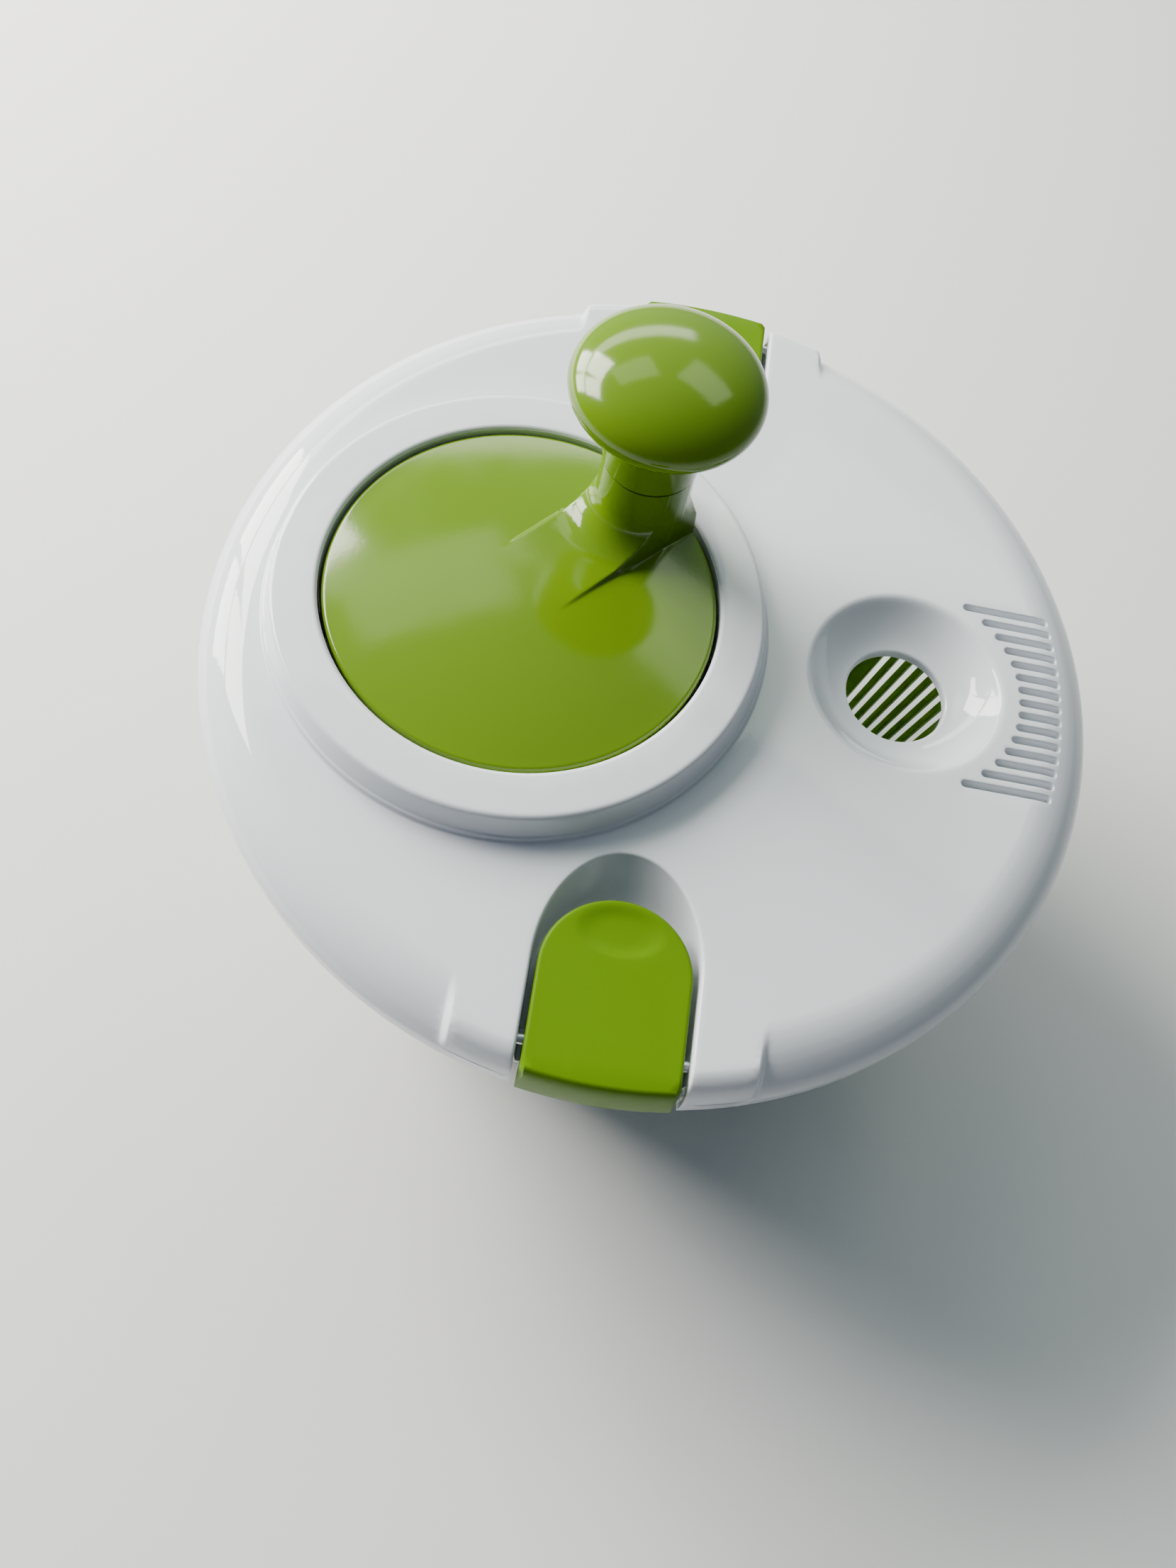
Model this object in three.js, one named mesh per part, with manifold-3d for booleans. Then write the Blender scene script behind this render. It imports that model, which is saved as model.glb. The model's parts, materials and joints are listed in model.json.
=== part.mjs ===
// Crank salad spinner: a clear bowl, a slotted basket that spins on the bowl's centre post, and a white lid
// with an off-centre crank. The crank's internal ring gear turns a pinion on the bowl's axis, and a
// three-armed spider on the pinion's shaft turns the basket. Two sprung latches hold the lid on the rim.
// Millimetres, +Z up, origin at the centre of the bowl's base, latches on -Y and +Y, funnel on +X.
import * as THREE from 'three';
import { mergeVertices } from 'three/addons/utils/BufferGeometryUtils.js';
import Module from 'manifold-3d';

const wasm = await Module();
wasm.setup();

// ---- driving dimensions ----
const GAP = 0.3;
const FINE = 40;
const MEDIUM = 28;
const SMALL = 14;
const LID_TOP = 138;
const LID_R = 130;
const SHOULDER_R = 113;
const SHOULDER_DROP = 10.6;
const SKIRT_BOTTOM = LID_TOP - 17;
const LID_WALL = 2.5;
const LID_UNDER = LID_TOP - LID_WALL;
const GUIDE_R = 115.6;
const SEAT_R = 121;

const BOWL_RIM_TOP = LID_TOP - 11;
const BOWL_RIM_R = 125.6;
const BOWL_WALL = 2.4;
const BOWL_TOP_R = 119.6;
const BOWL_BASE_R = 97;
const POST_R = 6;
const POST_TOP = 14;

const BASKET_RIM_TOP = 117;
const BASKET_RIM_R = 112.5;
const BASKET_TOP_R = 105;
const BASKET_BASE_R = 90;
const BASKET_WALL = 1.8;
const BASKET_FLOOR = 10.8;
const BUSH_R = 9;
const RIM_LUGS = 18;
const WALL_PANELS = 8;
const SLOTS_PER_PANEL = 7;
const WALL_SLOT_PITCH = 3.1;
const PANEL_START = 19.6;
const FLOOR_SLOTS = 18;

const GEAR_MODULE = 1.5;
const RING_TEETH = 68;
const PINION_TEETH = 13;
const CRANK_X = -GEAR_MODULE * (RING_TEETH - PINION_TEETH) / 2;
const RING_GEAR_R = 55;
const RING_GEAR_BOTTOM = 130.8;
const RING_GEAR_TOP = 141;
const RING_FLANGE_BOTTOM = 138.8;
const RING_SCREW_CIRCLE = 46.9;

const RING_BASE_R = 71.7;
const RING_TOP_R = 68.3;
const RING_MOUTH_R = 55.9;
const RING_TOP = LID_TOP + 10.3;

const COVER_R = 68.5;
const COVER_TOP = 127.5;
const COVER_BOTTOM = 125;
const COVER_SCREW_CIRCLE = 62.2;
const COVER_SCREW_ANGLES = [45, 135, 225, 315];

const DISC_R = 54.9;
const DISC_EDGE = LID_TOP + 8.7;
const DISC_APEX = LID_TOP + 13;
const DISC_WALL = 2.5;
const ARM_ANGLE = 48.5;
const ARM_WIDTH = 25.4;
const ARM_TOP = DISC_APEX + 0.6;
const STUB_REACH = 42;
const STUB_R = 12.9;
const STUB_TOP = LID_TOP + 36;
const KNOB_R = 25.4;
const KNOB_NECK_R = 13.3;
const KNOB_CENTRE = LID_TOP + 62.6;
const KNOB_HALF_HEIGHT = 10.8;
const SPINDLE_R = 3;

const FUNNEL_X = 71.9;
const FUNNEL_R = 27.9;
const FUNNEL_HOLE_R = 15;
const FUNNEL_DEPTH = 8.9;
const DRAIN_SLOTS = 15;
const DRAIN_PITCH = 4.2;
const DRAIN_WIDTH = 2.1;
const DRAIN_INNER_R = 33.8;
const DRAIN_OUTER_R = 118.5;

const PIN_Y = 119.5;
const PIN_Z = LID_TOP - 5;
const PIN_R = 1.5;
const PIN_HALF = 26;
const LATCH_HALF = 20;
const LATCH_ROUND_Y = 100;
const LATCH_WALL = 3;
const LATCH_TOP = LID_TOP - 1;
const LATCH_OUTER_R = 130.8;
const LATCH_BOTTOM = LID_TOP - 16;
const POCKET_HALF = 21.7;
const POCKET_ROUND_Y = 99;
const POCKET_DEPTH_Y = 30.7;
const POCKET_FLOOR = LID_TOP - 14.6;
const POCKET_WALL = 2.2;
const POCKET_REACH = 123.2;
const EAR_OUTER = 39.5;
const SPRING_Y = 104;
const SPRING_R = 2.7;
const SPRING_WIRE = 0.5;
const SPRING_TURNS = 4;

// ---- materials ----
const paint = (color, roughness, metalness = 0) => () =>
  new THREE.MeshStandardMaterial({ color, roughness, metalness });
const WHITE = paint(0xe6e8e8, 0.28);
const GREEN = paint(0x8fae2c, 0.3);
const CLEAR = () =>
  new THREE.MeshStandardMaterial({ color: 0xe4eef0, roughness: 0.08, transparent: true, opacity: 0.3 });
const NATURAL = paint(0xf1efe8, 0.45);
const STEEL = paint(0xb9bdc2, 0.28, 1);

// ---- shape helpers ----
const rad = THREE.MathUtils.degToRad;

function solid(geometry) {
  const bare = geometry.clone();
  bare.deleteAttribute('normal');
  bare.deleteAttribute('uv');
  const merged = mergeVertices(bare, 1e-4);
  const index = merged.index.array;
  const kept = [];
  for (let i = 0; i < index.length; i += 3) {
    const [a, b, c] = [index[i], index[i + 1], index[i + 2]];
    if (a !== b && b !== c && c !== a) kept.push(a, b, c);
  }
  return new wasm.Manifold(new wasm.Mesh({
    numProp: 3,
    vertProperties: new Float32Array(merged.attributes.position.array),
    triVerts: new Uint32Array(kept),
  }));
}

// A turned solid about a vertical axis at (x, y). The profile is a list of [radius, height].
function turned(profile, segments = MEDIUM, x = 0, y = 0) {
  let area = 0;
  profile.forEach(([r, z], i) => {
    const [r2, z2] = profile[(i + 1) % profile.length];
    area += r * z2 - r2 * z;
  });
  const points = (area > 0 ? profile : [...profile].reverse()).map(([r, z]) => new THREE.Vector2(r, z));
  const onAxis = points.filter((p) => p.x === 0).length > 0;
  if (onAxis) {
    while (points[0].x !== 0 || points[points.length - 1].x !== 0) points.push(points.shift());
  } else {
    points.push(points[0].clone());
  }
  const geometry = new THREE.LatheGeometry(points, segments);
  geometry.rotateX(Math.PI / 2);
  geometry.translate(x, y, 0);
  return solid(geometry);
}

const rod = (radius, low, high, x = 0, y = 0, segments = SMALL) =>
  turned([[0, low], [radius, low], [radius, high], [0, high]], segments, x, y);

const tube = (inner, outer, low, high, x = 0, y = 0, segments = MEDIUM) =>
  turned([[inner, low], [outer, low], [outer, high], [inner, high]], segments, x, y);

function prism(outline, low, high) {
  const geometry = new THREE.ExtrudeGeometry(new THREE.Shape(outline), {
    depth: high - low,
    bevelEnabled: false,
  });
  geometry.translate(0, 0, low);
  return solid(geometry);
}

function box(x0, x1, y0, y1, z0, z1) {
  const geometry = new THREE.BoxGeometry(x1 - x0, y1 - y0, z1 - z0);
  geometry.translate((x0 + x1) / 2, (y0 + y1) / 2, (z0 + z1) / 2);
  return solid(geometry);
}

// Points on an arc in the plane, from one angle to another in degrees.
function arc(cx, cy, rx, ry, from, to, steps) {
  return Array.from({ length: steps + 1 }, (_, i) => {
    const a = rad(from + (to - from) * i / steps);
    return [cx + rx * Math.cos(a), cy + ry * Math.sin(a)];
  });
}

const outline = (pairs) => pairs.map(([x, y]) => new THREE.Vector2(x, y));
const union = (solids) => solids.reduce((sum, piece) => sum.add(piece));
const turn = (piece, degrees) => piece.rotate([0, 0, degrees]);
const polar = (radius, degrees) => [radius * Math.cos(rad(degrees)), radius * Math.sin(rad(degrees))];
const count = (n) => Array.from({ length: n }, (_, i) => i);

const spinner = new THREE.Group();

function piece(name, body, material) {
  const { vertProperties, triVerts } = body.getMesh();
  const geometry = new THREE.BufferGeometry();
  geometry.setAttribute('position', new THREE.BufferAttribute(new Float32Array(vertProperties), 3));
  geometry.setIndex(new THREE.BufferAttribute(new Uint32Array(triVerts), 1));
  geometry.computeVertexNormals();
  const mesh = new THREE.Mesh(geometry, material());
  mesh.name = name;
  spinner.add(mesh);
}

// ---- bowl ----
function bowl() {
  const rimBottom = BOWL_RIM_TOP - 3;
  const inner = BOWL_TOP_R - BOWL_WALL;
  const innerBase = BOWL_BASE_R - BOWL_WALL;
  return turned([
    [0, 1.4], [62, 1.4], [65, 0], [86, 0],
    ...arc(86, 11, 11, 11, -60, 0, 3),
    [BOWL_TOP_R, rimBottom - 3], [BOWL_TOP_R + 1.4, rimBottom], [BOWL_RIM_R, rimBottom + 0.8],
    [BOWL_RIM_R, BOWL_RIM_TOP - 0.6], [BOWL_RIM_R - 0.6, BOWL_RIM_TOP], [inner, BOWL_RIM_TOP],
    ...arc(86, 11 + BOWL_WALL, innerBase - 86, 9, 0, -75, 3),
    [80, 3.4], [POST_R, 3.4], [POST_R, POST_TOP - 1.2], [POST_R - 1.2, POST_TOP], [0, POST_TOP],
  ], FINE);
}

function pivotBush() {
  return turned([
    [POST_R + GAP, 4.2], [13, 4.2], [13, 6], [BUSH_R, 6.6], [BUSH_R, 17],
    [0, 17], [0, POST_TOP + GAP], [POST_R + GAP, POST_TOP + GAP],
  ], SMALL);
}

// ---- basket ----
function basket() {
  const floorTop = BASKET_FLOOR + 2;
  const rimBottom = BASKET_RIM_TOP - 2;
  const innerTop = BASKET_TOP_R - BASKET_WALL;
  const innerBase = BASKET_BASE_R - BASKET_WALL;
  const hub = BUSH_R + GAP;
  let body = turned([
    [0, 17.4], [hub, 17.4], [hub, 7.2], [hub + 2.2, 7.2], [hub + 2.2, BASKET_FLOOR],
    [81, BASKET_FLOOR], ...arc(81, 19.8, 9, 9, -60, 0, 3),
    [BASKET_TOP_R, rimBottom - 1.5], [BASKET_TOP_R + 1.5, rimBottom], [BASKET_RIM_R, rimBottom],
    [BASKET_RIM_R, BASKET_RIM_TOP], [innerTop, BASKET_RIM_TOP], [innerTop - 0.3, rimBottom - 1.5],
    ...arc(81, 19.8, innerBase - 81, 7, 0, -75, 3), [79, floorTop],
    [hub + 3, floorTop], [hub + 2, 19], [0, 19.4],
  ], FINE);
  const cuts = [];
  for (const panel of count(WALL_PANELS)) {
    for (const slot of count(SLOTS_PER_PANEL)) {
      const centre = PANEL_START + panel * 360 / WALL_PANELS;
      const angle = centre + (slot - (SLOTS_PER_PANEL - 1) / 2) * WALL_SLOT_PITCH;
      cuts.push(turn(box(84, 112, -1.3, 1.3, 30, 102), angle));
    }
  }
  for (const slot of count(FLOOR_SLOTS)) {
    cuts.push(turn(box(24, 74, -1.4, 1.4, BASKET_FLOOR - 2, floorTop + 2), slot * 360 / FLOOR_SLOTS));
  }
  body = body.subtract(union(cuts));
  for (const lug of count(RIM_LUGS)) {
    const block = box(106, 111.6, -2, 2, BASKET_RIM_TOP - 0.5, BASKET_RIM_TOP + 3);
    body = body.add(turn(block, lug * 360 / RIM_LUGS));
  }
  return body;
}

// ---- lid ----
function shoulder(inset, steps) {
  const power = 2 / 1.6;
  return count(steps + 1).map((i) => {
    const t = i / steps * Math.PI / 2;
    return [
      SHOULDER_R + (LID_R - SHOULDER_R) * Math.sin(t) ** power - inset * (i / steps),
      LID_TOP - SHOULDER_DROP + SHOULDER_DROP * Math.cos(t) ** power - inset * (1 - i / steps),
    ];
  });
}

// Plan of a latch pocket on the +Y side: straight sides, elliptical inner end.
function pocketPlan(half, depth, reach, steps = 12) {
  return outline([
    [half, reach],
    [-half, reach],
    ...arc(0, POCKET_ROUND_Y, half, depth, 180, 360, steps),
  ]);
}

// Wedge whose top is the pocket's floor: it falls from the lid's top to the full depth, then stays level.
function pocketFloor(drop) {
  const apex = POCKET_ROUND_Y - POCKET_DEPTH_Y;
  const sill = BOWL_RIM_TOP + 2.2;
  const side = outline([
    [apex - 4, LID_TOP - drop - 1], [apex + 4, LID_TOP - drop - 3],
    [apex + 13, POCKET_FLOOR - drop], [GUIDE_R, POCKET_FLOOR - drop], [GUIDE_R + 1.4, sill - drop],
    [SEAT_R + 3.2, sill - drop], [SEAT_R + 3.2, 100], [apex - 4, 100],
  ]);
  const geometry = new THREE.ExtrudeGeometry(new THREE.Shape(side), { depth: 90, bevelEnabled: false });
  geometry.rotateX(Math.PI / 2);
  geometry.rotateZ(Math.PI / 2);
  geometry.translate(-45, 0, 0);
  return solid(geometry);
}

function pocketShell() {
  const plan = pocketPlan(POCKET_HALF + POCKET_WALL, POCKET_DEPTH_Y + POCKET_WALL, POCKET_REACH);
  const block = prism(plan, POCKET_FLOOR - POCKET_WALL, LID_TOP - 0.2);
  return block.subtract(bowlClearance()).subtract(pocketFloor(2));
}

function bowlClearance() {
  return turned([
    [0, 90], [LID_R - LID_WALL, 90], [LID_R - LID_WALL, BOWL_RIM_TOP + GAP],
    [GUIDE_R - 0.2, BOWL_RIM_TOP + GAP], [GUIDE_R - 0.2, POCKET_FLOOR - POCKET_WALL],
    [0, POCKET_FLOOR - POCKET_WALL],
  ], FINE);
}

function ears() {
  const envelope = turned([
    [0, 110], [LID_R - 0.6, 110], [LID_R - 0.6, LID_TOP - 7], [LID_R - 2, LID_TOP - 2.6],
    [125.5, LID_TOP - 0.4], [124.6, LID_TOP], [0, LID_TOP],
  ], FINE);
  const block = box(-EAR_OUTER, EAR_OUTER, 103, 132, SKIRT_BOTTOM, LID_TOP);
  return block.intersect(envelope).subtract(bowlClearance());
}

function lidShell() {
  const outer = shoulder(0, 3);
  const inner = shoulder(LID_WALL, 3);
  let body = turned([
    [0, LID_TOP], ...outer, [LID_R, SKIRT_BOTTOM + 0.6], [LID_R - 0.6, SKIRT_BOTTOM],
    [LID_R - LID_WALL, SKIRT_BOTTOM], ...inner.reverse(), [0, LID_UNDER],
  ], FINE);
  const seat = tube(SEAT_R, SEAT_R + 2.4, BOWL_RIM_TOP + GAP, LID_TOP - 5, 0, 0, FINE);
  const guide = tube(GUIDE_R - 2, GUIDE_R, BOWL_RIM_TOP - 3.4, LID_TOP - 1.6, 0, 0, FINE)
    .subtract(box(80, 130, -33, 33, 110, LID_UNDER - 0.2));
  body = body.add(seat).add(guide);

  // Raised crank ring: an upturned channel with an open mouth for the crank disc.
  const rise = turned([
    [RING_MOUTH_R, LID_UNDER], [RING_BASE_R, LID_UNDER], [RING_BASE_R, LID_TOP],
    [RING_TOP_R + 1, RING_TOP - 3], [RING_TOP_R - 0.8, RING_TOP - 0.7], [RING_TOP_R - 2.6, RING_TOP],
    [RING_MOUTH_R + 1, RING_TOP],
    [RING_MOUTH_R, RING_TOP - 1],
  ], FINE, CRANK_X);
  const channel = turned([
    [RING_MOUTH_R + 2.2, LID_UNDER - 1], [RING_BASE_R - 2.8, LID_UNDER - 1], [RING_BASE_R - 2.8, LID_TOP],
    [RING_TOP_R - 2, RING_TOP - 3], [RING_MOUTH_R + 2.2, RING_TOP - 2.6],
  ], MEDIUM, CRANK_X);
  body = body.add(rise).subtract(channel).subtract(rod(RING_MOUTH_R, 120, 160, CRANK_X, 0, FINE));
  body = body.add(tube(COVER_R - 2, RING_BASE_R - 2.2, COVER_TOP + GAP, LID_TOP - 1, CRANK_X));
  for (const angle of COVER_SCREW_ANGLES) {
    const [x, y] = polar(COVER_SCREW_CIRCLE, angle);
    body = body.add(rod(4.2, COVER_TOP + GAP, RING_TOP - 2, CRANK_X + x, y, 10));
    body = body.subtract(rod(1.6, COVER_TOP, 136, CRANK_X + x, y, 8));
  }

  // Pouring funnel: a dish with a rolled edge and a round hole.
  body = body.subtract(rod(FUNNEL_R, 120, 150, FUNNEL_X, 0, MEDIUM));
  body = body.add(turned([
    [FUNNEL_R + 1, LID_TOP], [FUNNEL_R - 0.6, LID_TOP - 0.4], [FUNNEL_R - 2.4, LID_TOP - 1.8],
    [FUNNEL_R - 6, LID_TOP - 5], [FUNNEL_HOLE_R + 3, LID_TOP - 7.8], [FUNNEL_HOLE_R, LID_TOP - FUNNEL_DEPTH],
    [FUNNEL_HOLE_R, LID_TOP - FUNNEL_DEPTH - 2.2], [FUNNEL_HOLE_R + 4, LID_TOP - 10],
    [FUNNEL_R - 4, LID_TOP - 6.6], [FUNNEL_R + 1, LID_UNDER],
  ], MEDIUM, FUNNEL_X));

  const slots = count(DRAIN_SLOTS).map((i) => {
    const y = (i - (DRAIN_SLOTS - 1) / 2) * DRAIN_PITCH;
    const left = FUNNEL_X + Math.sqrt(DRAIN_INNER_R ** 2 - y ** 2) + DRAIN_WIDTH / 2;
    const right = Math.sqrt(DRAIN_OUTER_R ** 2 - y ** 2) - DRAIN_WIDTH / 2;
    const half = DRAIN_WIDTH / 2;
    const ends = [...arc(right, y, half, half, -90, 90, 2), ...arc(left, y, half, half, 90, 270, 2)];
    return prism(outline(ends), 124, 141);
  });
  body = body.subtract(union(slots));

  // Two latch pockets, the front one turned half a turn from the rear one.
  for (const side of [0, 180]) {
    const opening = prism(pocketPlan(POCKET_HALF, POCKET_DEPTH_Y, 140), 110, 150);
    const pinHole = rod(PIN_R + GAP, -PIN_HALF - GAP, PIN_HALF + GAP, 0, 0, 12)
      .rotate([0, 90, 0]).translate([0, PIN_Y, PIN_Z]);
    const widePlan = pocketPlan(POCKET_HALF + POCKET_WALL, POCKET_DEPTH_Y + POCKET_WALL, POCKET_REACH);
    const wide = prism(widePlan, 110, LID_UNDER + 0.2);
    body = body.add(turn(ears(), side));
    body = body.subtract(turn(wide, side)).add(turn(pocketShell(), side));
    body = body.subtract(turn(opening.subtract(pocketFloor(0)), side)).subtract(turn(pinHole, side));
  }
  return body;
}

// ---- gear housing and drive ----
const screwSpots = COVER_SCREW_ANGLES.map((angle) => polar(COVER_SCREW_CIRCLE, angle));
const ringScrewSpots = [60, 180, 300].map((offset) => polar(RING_SCREW_CIRCLE, ARM_ANGLE + offset));

function gearCover() {
  let body = rod(COVER_R, COVER_BOTTOM, COVER_TOP, CRANK_X, 0, FINE);
  body = body.add(rod(7, COVER_TOP - 1, LID_TOP + 1.5, CRANK_X));
  body = body.subtract(rod(2.5, 120, 145, CRANK_X)).subtract(rod(6.3, 120, 130));
  return screwSpots.reduce((cut, [x, y]) => cut.subtract(rod(1.6, 120, 130, CRANK_X + x, y, 12)), body);
}

// Pan-head screw pointing up, its head's underside at the height given.
function panScrew(x, y, seat, shank, length, head, thickness) {
  return turned([
    [0, seat - thickness], [head * 0.7, seat - thickness], [head, seat - thickness * 0.55], [head, seat],
    [shank, seat], [shank, seat + length - 1], [shank * 0.4, seat + length], [0, seat + length],
  ], 12, x, y);
}

// Straight-flanked gear teeth; the tooth's half width shrinks from root to tip.
function toothOutline(teeth, rootR, tipR, rootHalf, tipHalf, phase = 0) {
  return outline(count(teeth).flatMap((i) => {
    const a = (i + phase) * 2 * Math.PI / teeth;
    return [[rootR, -rootHalf], [tipR, -tipHalf], [tipR, tipHalf], [rootR, rootHalf]].map(([r, half]) => {
      const b = a + half / r;
      return [r * Math.cos(b), r * Math.sin(b)];
    });
  }));
}

function ringGear() {
  const pitch = GEAR_MODULE * RING_TEETH / 2;
  const teeth = toothOutline(RING_TEETH, pitch - 1.15, pitch + 1.7, 1.62, 0.78);
  const space = prism(teeth, RING_GEAR_BOTTOM - 1, RING_FLANGE_BOTTOM);
  let body = rod(RING_GEAR_R, RING_GEAR_BOTTOM, RING_GEAR_TOP, 0, 0, FINE);
  body = body.subtract(space).subtract(rod(44, 120, 150, 0, 0, 48));
  for (const [x, y] of ringScrewSpots) body = body.subtract(rod(1.6, 120, 150, x, y, 12));
  return body.translate([CRANK_X, 0, 0]);
}

function pinion() {
  const pitch = GEAR_MODULE * PINION_TEETH / 2;
  const teeth = prism(
    toothOutline(PINION_TEETH, pitch - 1.6, pitch + 1.2, 1.5, 0.48), 130.2, 136.6);
  return teeth
    .add(rod(7.6, 129.3, 130.4))
    .add(rod(4, 119.6, 130))
    .add(prism(outline(arc(0, 0, 4, 4, 0, 360, 6).slice(0, 6)), 116, 119.8))
    .subtract(rod(1.3, 115, 124.5, 0, 0, 12));
}

function pinionBush() {
  return turned([
    [4.3, COVER_BOTTOM - 1.8], [8, COVER_BOTTOM - 1.8], [8, COVER_BOTTOM - GAP], [6, COVER_BOTTOM - GAP],
    [6, COVER_TOP + 1.4], [4.3, COVER_TOP + 1.4],
  ], 24);
}

// Three arms on a hub; each arm ends in a pad that drops between two of the basket's rim lugs.
function driveSpider() {
  let body = rod(11, 116, 122.6, 0, 0, 32);
  for (const angle of [50, 170, 290]) {
    const arm = box(5, 108, -5, 5, 118.2, 121).add(box(5, 100, -1.2, 1.2, 116.4, 118.6));
    const pad = box(104.8, 110.6, -15, 15, BASKET_RIM_TOP + 0.6, 121);
    body = body.add(turn(arm.add(pad), angle));
  }
  const socket = prism(outline(arc(0, 0, 4.35, 4.35, 0, 360, 6).slice(0, 6)), 115, 119.4);
  return body.subtract(socket).subtract(rod(4.3, 119.2, 130));
}

function driveScrew() {
  return panScrew(0, 0, 115.7, 1, 8, 6, 2);
}

// ---- crank ----
function domeHeight(r) {
  return DISC_EDGE + (DISC_APEX - DISC_EDGE) * (1 - (r / DISC_R) ** 2);
}

function crankDisc() {
  const steps = [0, 0.45, 0.75, 0.96];
  const top = steps.map((t) => [DISC_R * t, domeHeight(DISC_R * t)]);
  const under = steps.slice(0, 3).map((t) => [DISC_R * t, domeHeight(DISC_R * t) - DISC_WALL]);
  let body = turned([
    ...top, [DISC_R, DISC_EDGE - 0.8], [DISC_R, RING_GEAR_TOP + GAP], [DISC_R - 2.2, RING_GEAR_TOP + GAP],
    [DISC_R - 2.2, DISC_EDGE - 2.4], ...under.reverse(),
  ], FINE);
  const [sx, sy] = [STUB_REACH, 0];
  const arm = prism(outline([
    ...arc(sx, sy, STUB_R, STUB_R, -70, 70, 8), [6, ARM_WIDTH / 2], [6, -ARM_WIDTH / 2],
  ]), DISC_EDGE - 1, ARM_TOP);
  const stub = turned([
    [0, DISC_EDGE - 1], [STUB_R, DISC_EDGE - 1], [STUB_R, ARM_TOP + 3], [KNOB_NECK_R, ARM_TOP + 6],
    [KNOB_NECK_R, STUB_TOP - GAP], [0, STUB_TOP - GAP],
  ], 28, sx, sy);
  body = body.add(turn(arm.add(stub), ARM_ANGLE));
  body = body.add(tube(7.4, 10, LID_TOP - 9, DISC_APEX - 1, 0, 0, SMALL));
  body = body.add(rod(4.6, LID_TOP + 1.9, DISC_APEX - 1));
  body = body.subtract(rod(1.9, LID_TOP, LID_TOP + 8, 0, 0, 12));
  const [kx, ky] = polar(STUB_REACH, ARM_ANGLE);
  body = body.subtract(rod(SPINDLE_R + GAP, 135, STUB_TOP + 1, kx, ky, 16));
  for (const [x, y] of ringScrewSpots) {
    body = body.add(rod(3, RING_GEAR_TOP + GAP, DISC_EDGE, x, y, 16));
    body = body.subtract(rod(1.6, RING_GEAR_TOP - 1, DISC_EDGE - 1, x, y, 12));
  }
  return body.translate([CRANK_X, 0, 0]);
}

const [knobX, knobY] = (() => {
  const [x, y] = polar(STUB_REACH, ARM_ANGLE);
  return [CRANK_X + x, y];
})();

function knob() {
  const ball = arc(0, KNOB_CENTRE, KNOB_R, KNOB_HALF_HEIGHT, -50, 90, 8);
  return turned([
    [SPINDLE_R + GAP, STUB_TOP + GAP], [KNOB_NECK_R, STUB_TOP + GAP], [KNOB_NECK_R, STUB_TOP + 11],
    [KNOB_NECK_R + 0.9, STUB_TOP + 15], ...ball.slice(0, -1), [0, KNOB_CENTRE + KNOB_HALF_HEIGHT],
    [0, KNOB_CENTRE + 1], [SPINDLE_R + GAP, KNOB_CENTRE + 1],
  ], 28, knobX, knobY);
}

function knobSpindle() {
  return turned([
    [0, RING_GEAR_TOP + 0.6], [5.2, RING_GEAR_TOP + 0.6], [5.2, DISC_EDGE - DISC_WALL - 0.5],
    [SPINDLE_R, DISC_EDGE - DISC_WALL - 0.5], [SPINDLE_R, KNOB_CENTRE - 1], [SPINDLE_R - 1, KNOB_CENTRE],
    [0, KNOB_CENTRE],
  ], 20, knobX, knobY);
}

// ---- latches, modelled on the +Y side ----
function latch() {
  const plan = outline([
    ...arc(0, 0, LATCH_OUTER_R, LATCH_OUTER_R, 81.2, 98.8, 6),
    ...arc(0, LATCH_ROUND_Y, LATCH_HALF, 19.3, 180, 360, 14),
  ]);
  const top = prism(plan, LATCH_TOP - LATCH_WALL, LATCH_TOP);
  const lip = prism(plan, LATCH_BOTTOM, LATCH_TOP - 1).subtract(rod(LATCH_OUTER_R - 2.7, 100, 160, 0, 0, 60));
  const ledge = prism(plan, LATCH_BOTTOM, LATCH_BOTTOM + 1.5);
  const hook = ledge.subtract(rod(BOWL_RIM_R - 2, 100, 160, 0, 0, 60));
  const boss = rod(3.4, -LATCH_HALF, LATCH_HALF, 0, 0, 20).rotate([0, 90, 0]).translate([0, PIN_Y, PIN_Z]);
  const bore = rod(PIN_R + GAP, -30, 30, 0, 0, 12).rotate([0, 90, 0]).translate([0, PIN_Y, PIN_Z]);
  const crown = turned([
    [0, 100], [LATCH_OUTER_R, 100], [LATCH_OUTER_R, LID_TOP - 13], [LATCH_OUTER_R - 0.7, LID_TOP - 5],
    [LATCH_OUTER_R - 2.4, LATCH_TOP], [0, LATCH_TOP],
  ], 60);
  return top.add(lip).add(hook).intersect(crown).add(boss).subtract(bore);
}

const latchPin = () =>
  rod(PIN_R, -PIN_HALF, PIN_HALF, 0, 0, 14).rotate([0, 90, 0]).translate([0, PIN_Y, PIN_Z]);

class Helix extends THREE.Curve {
  getPoint(t, target = new THREE.Vector3()) {
    const a = t * SPRING_TURNS * 2 * Math.PI;
    const low = POCKET_FLOOR + SPRING_WIRE + GAP;
    const high = LATCH_TOP - LATCH_WALL - SPRING_WIRE - GAP;
    return target.set(SPRING_R * Math.cos(a), SPRING_Y + SPRING_R * Math.sin(a), low + (high - low) * t);
  }
}

function latchSpring() {
  const wire = new THREE.Shape(outline(arc(0, 0, SPRING_WIRE, SPRING_WIRE, 0, 360, 5).slice(0, 5)));
  return solid(new THREE.ExtrudeGeometry(wire, { steps: SPRING_TURNS * 8, extrudePath: new Helix() }));
}

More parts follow.
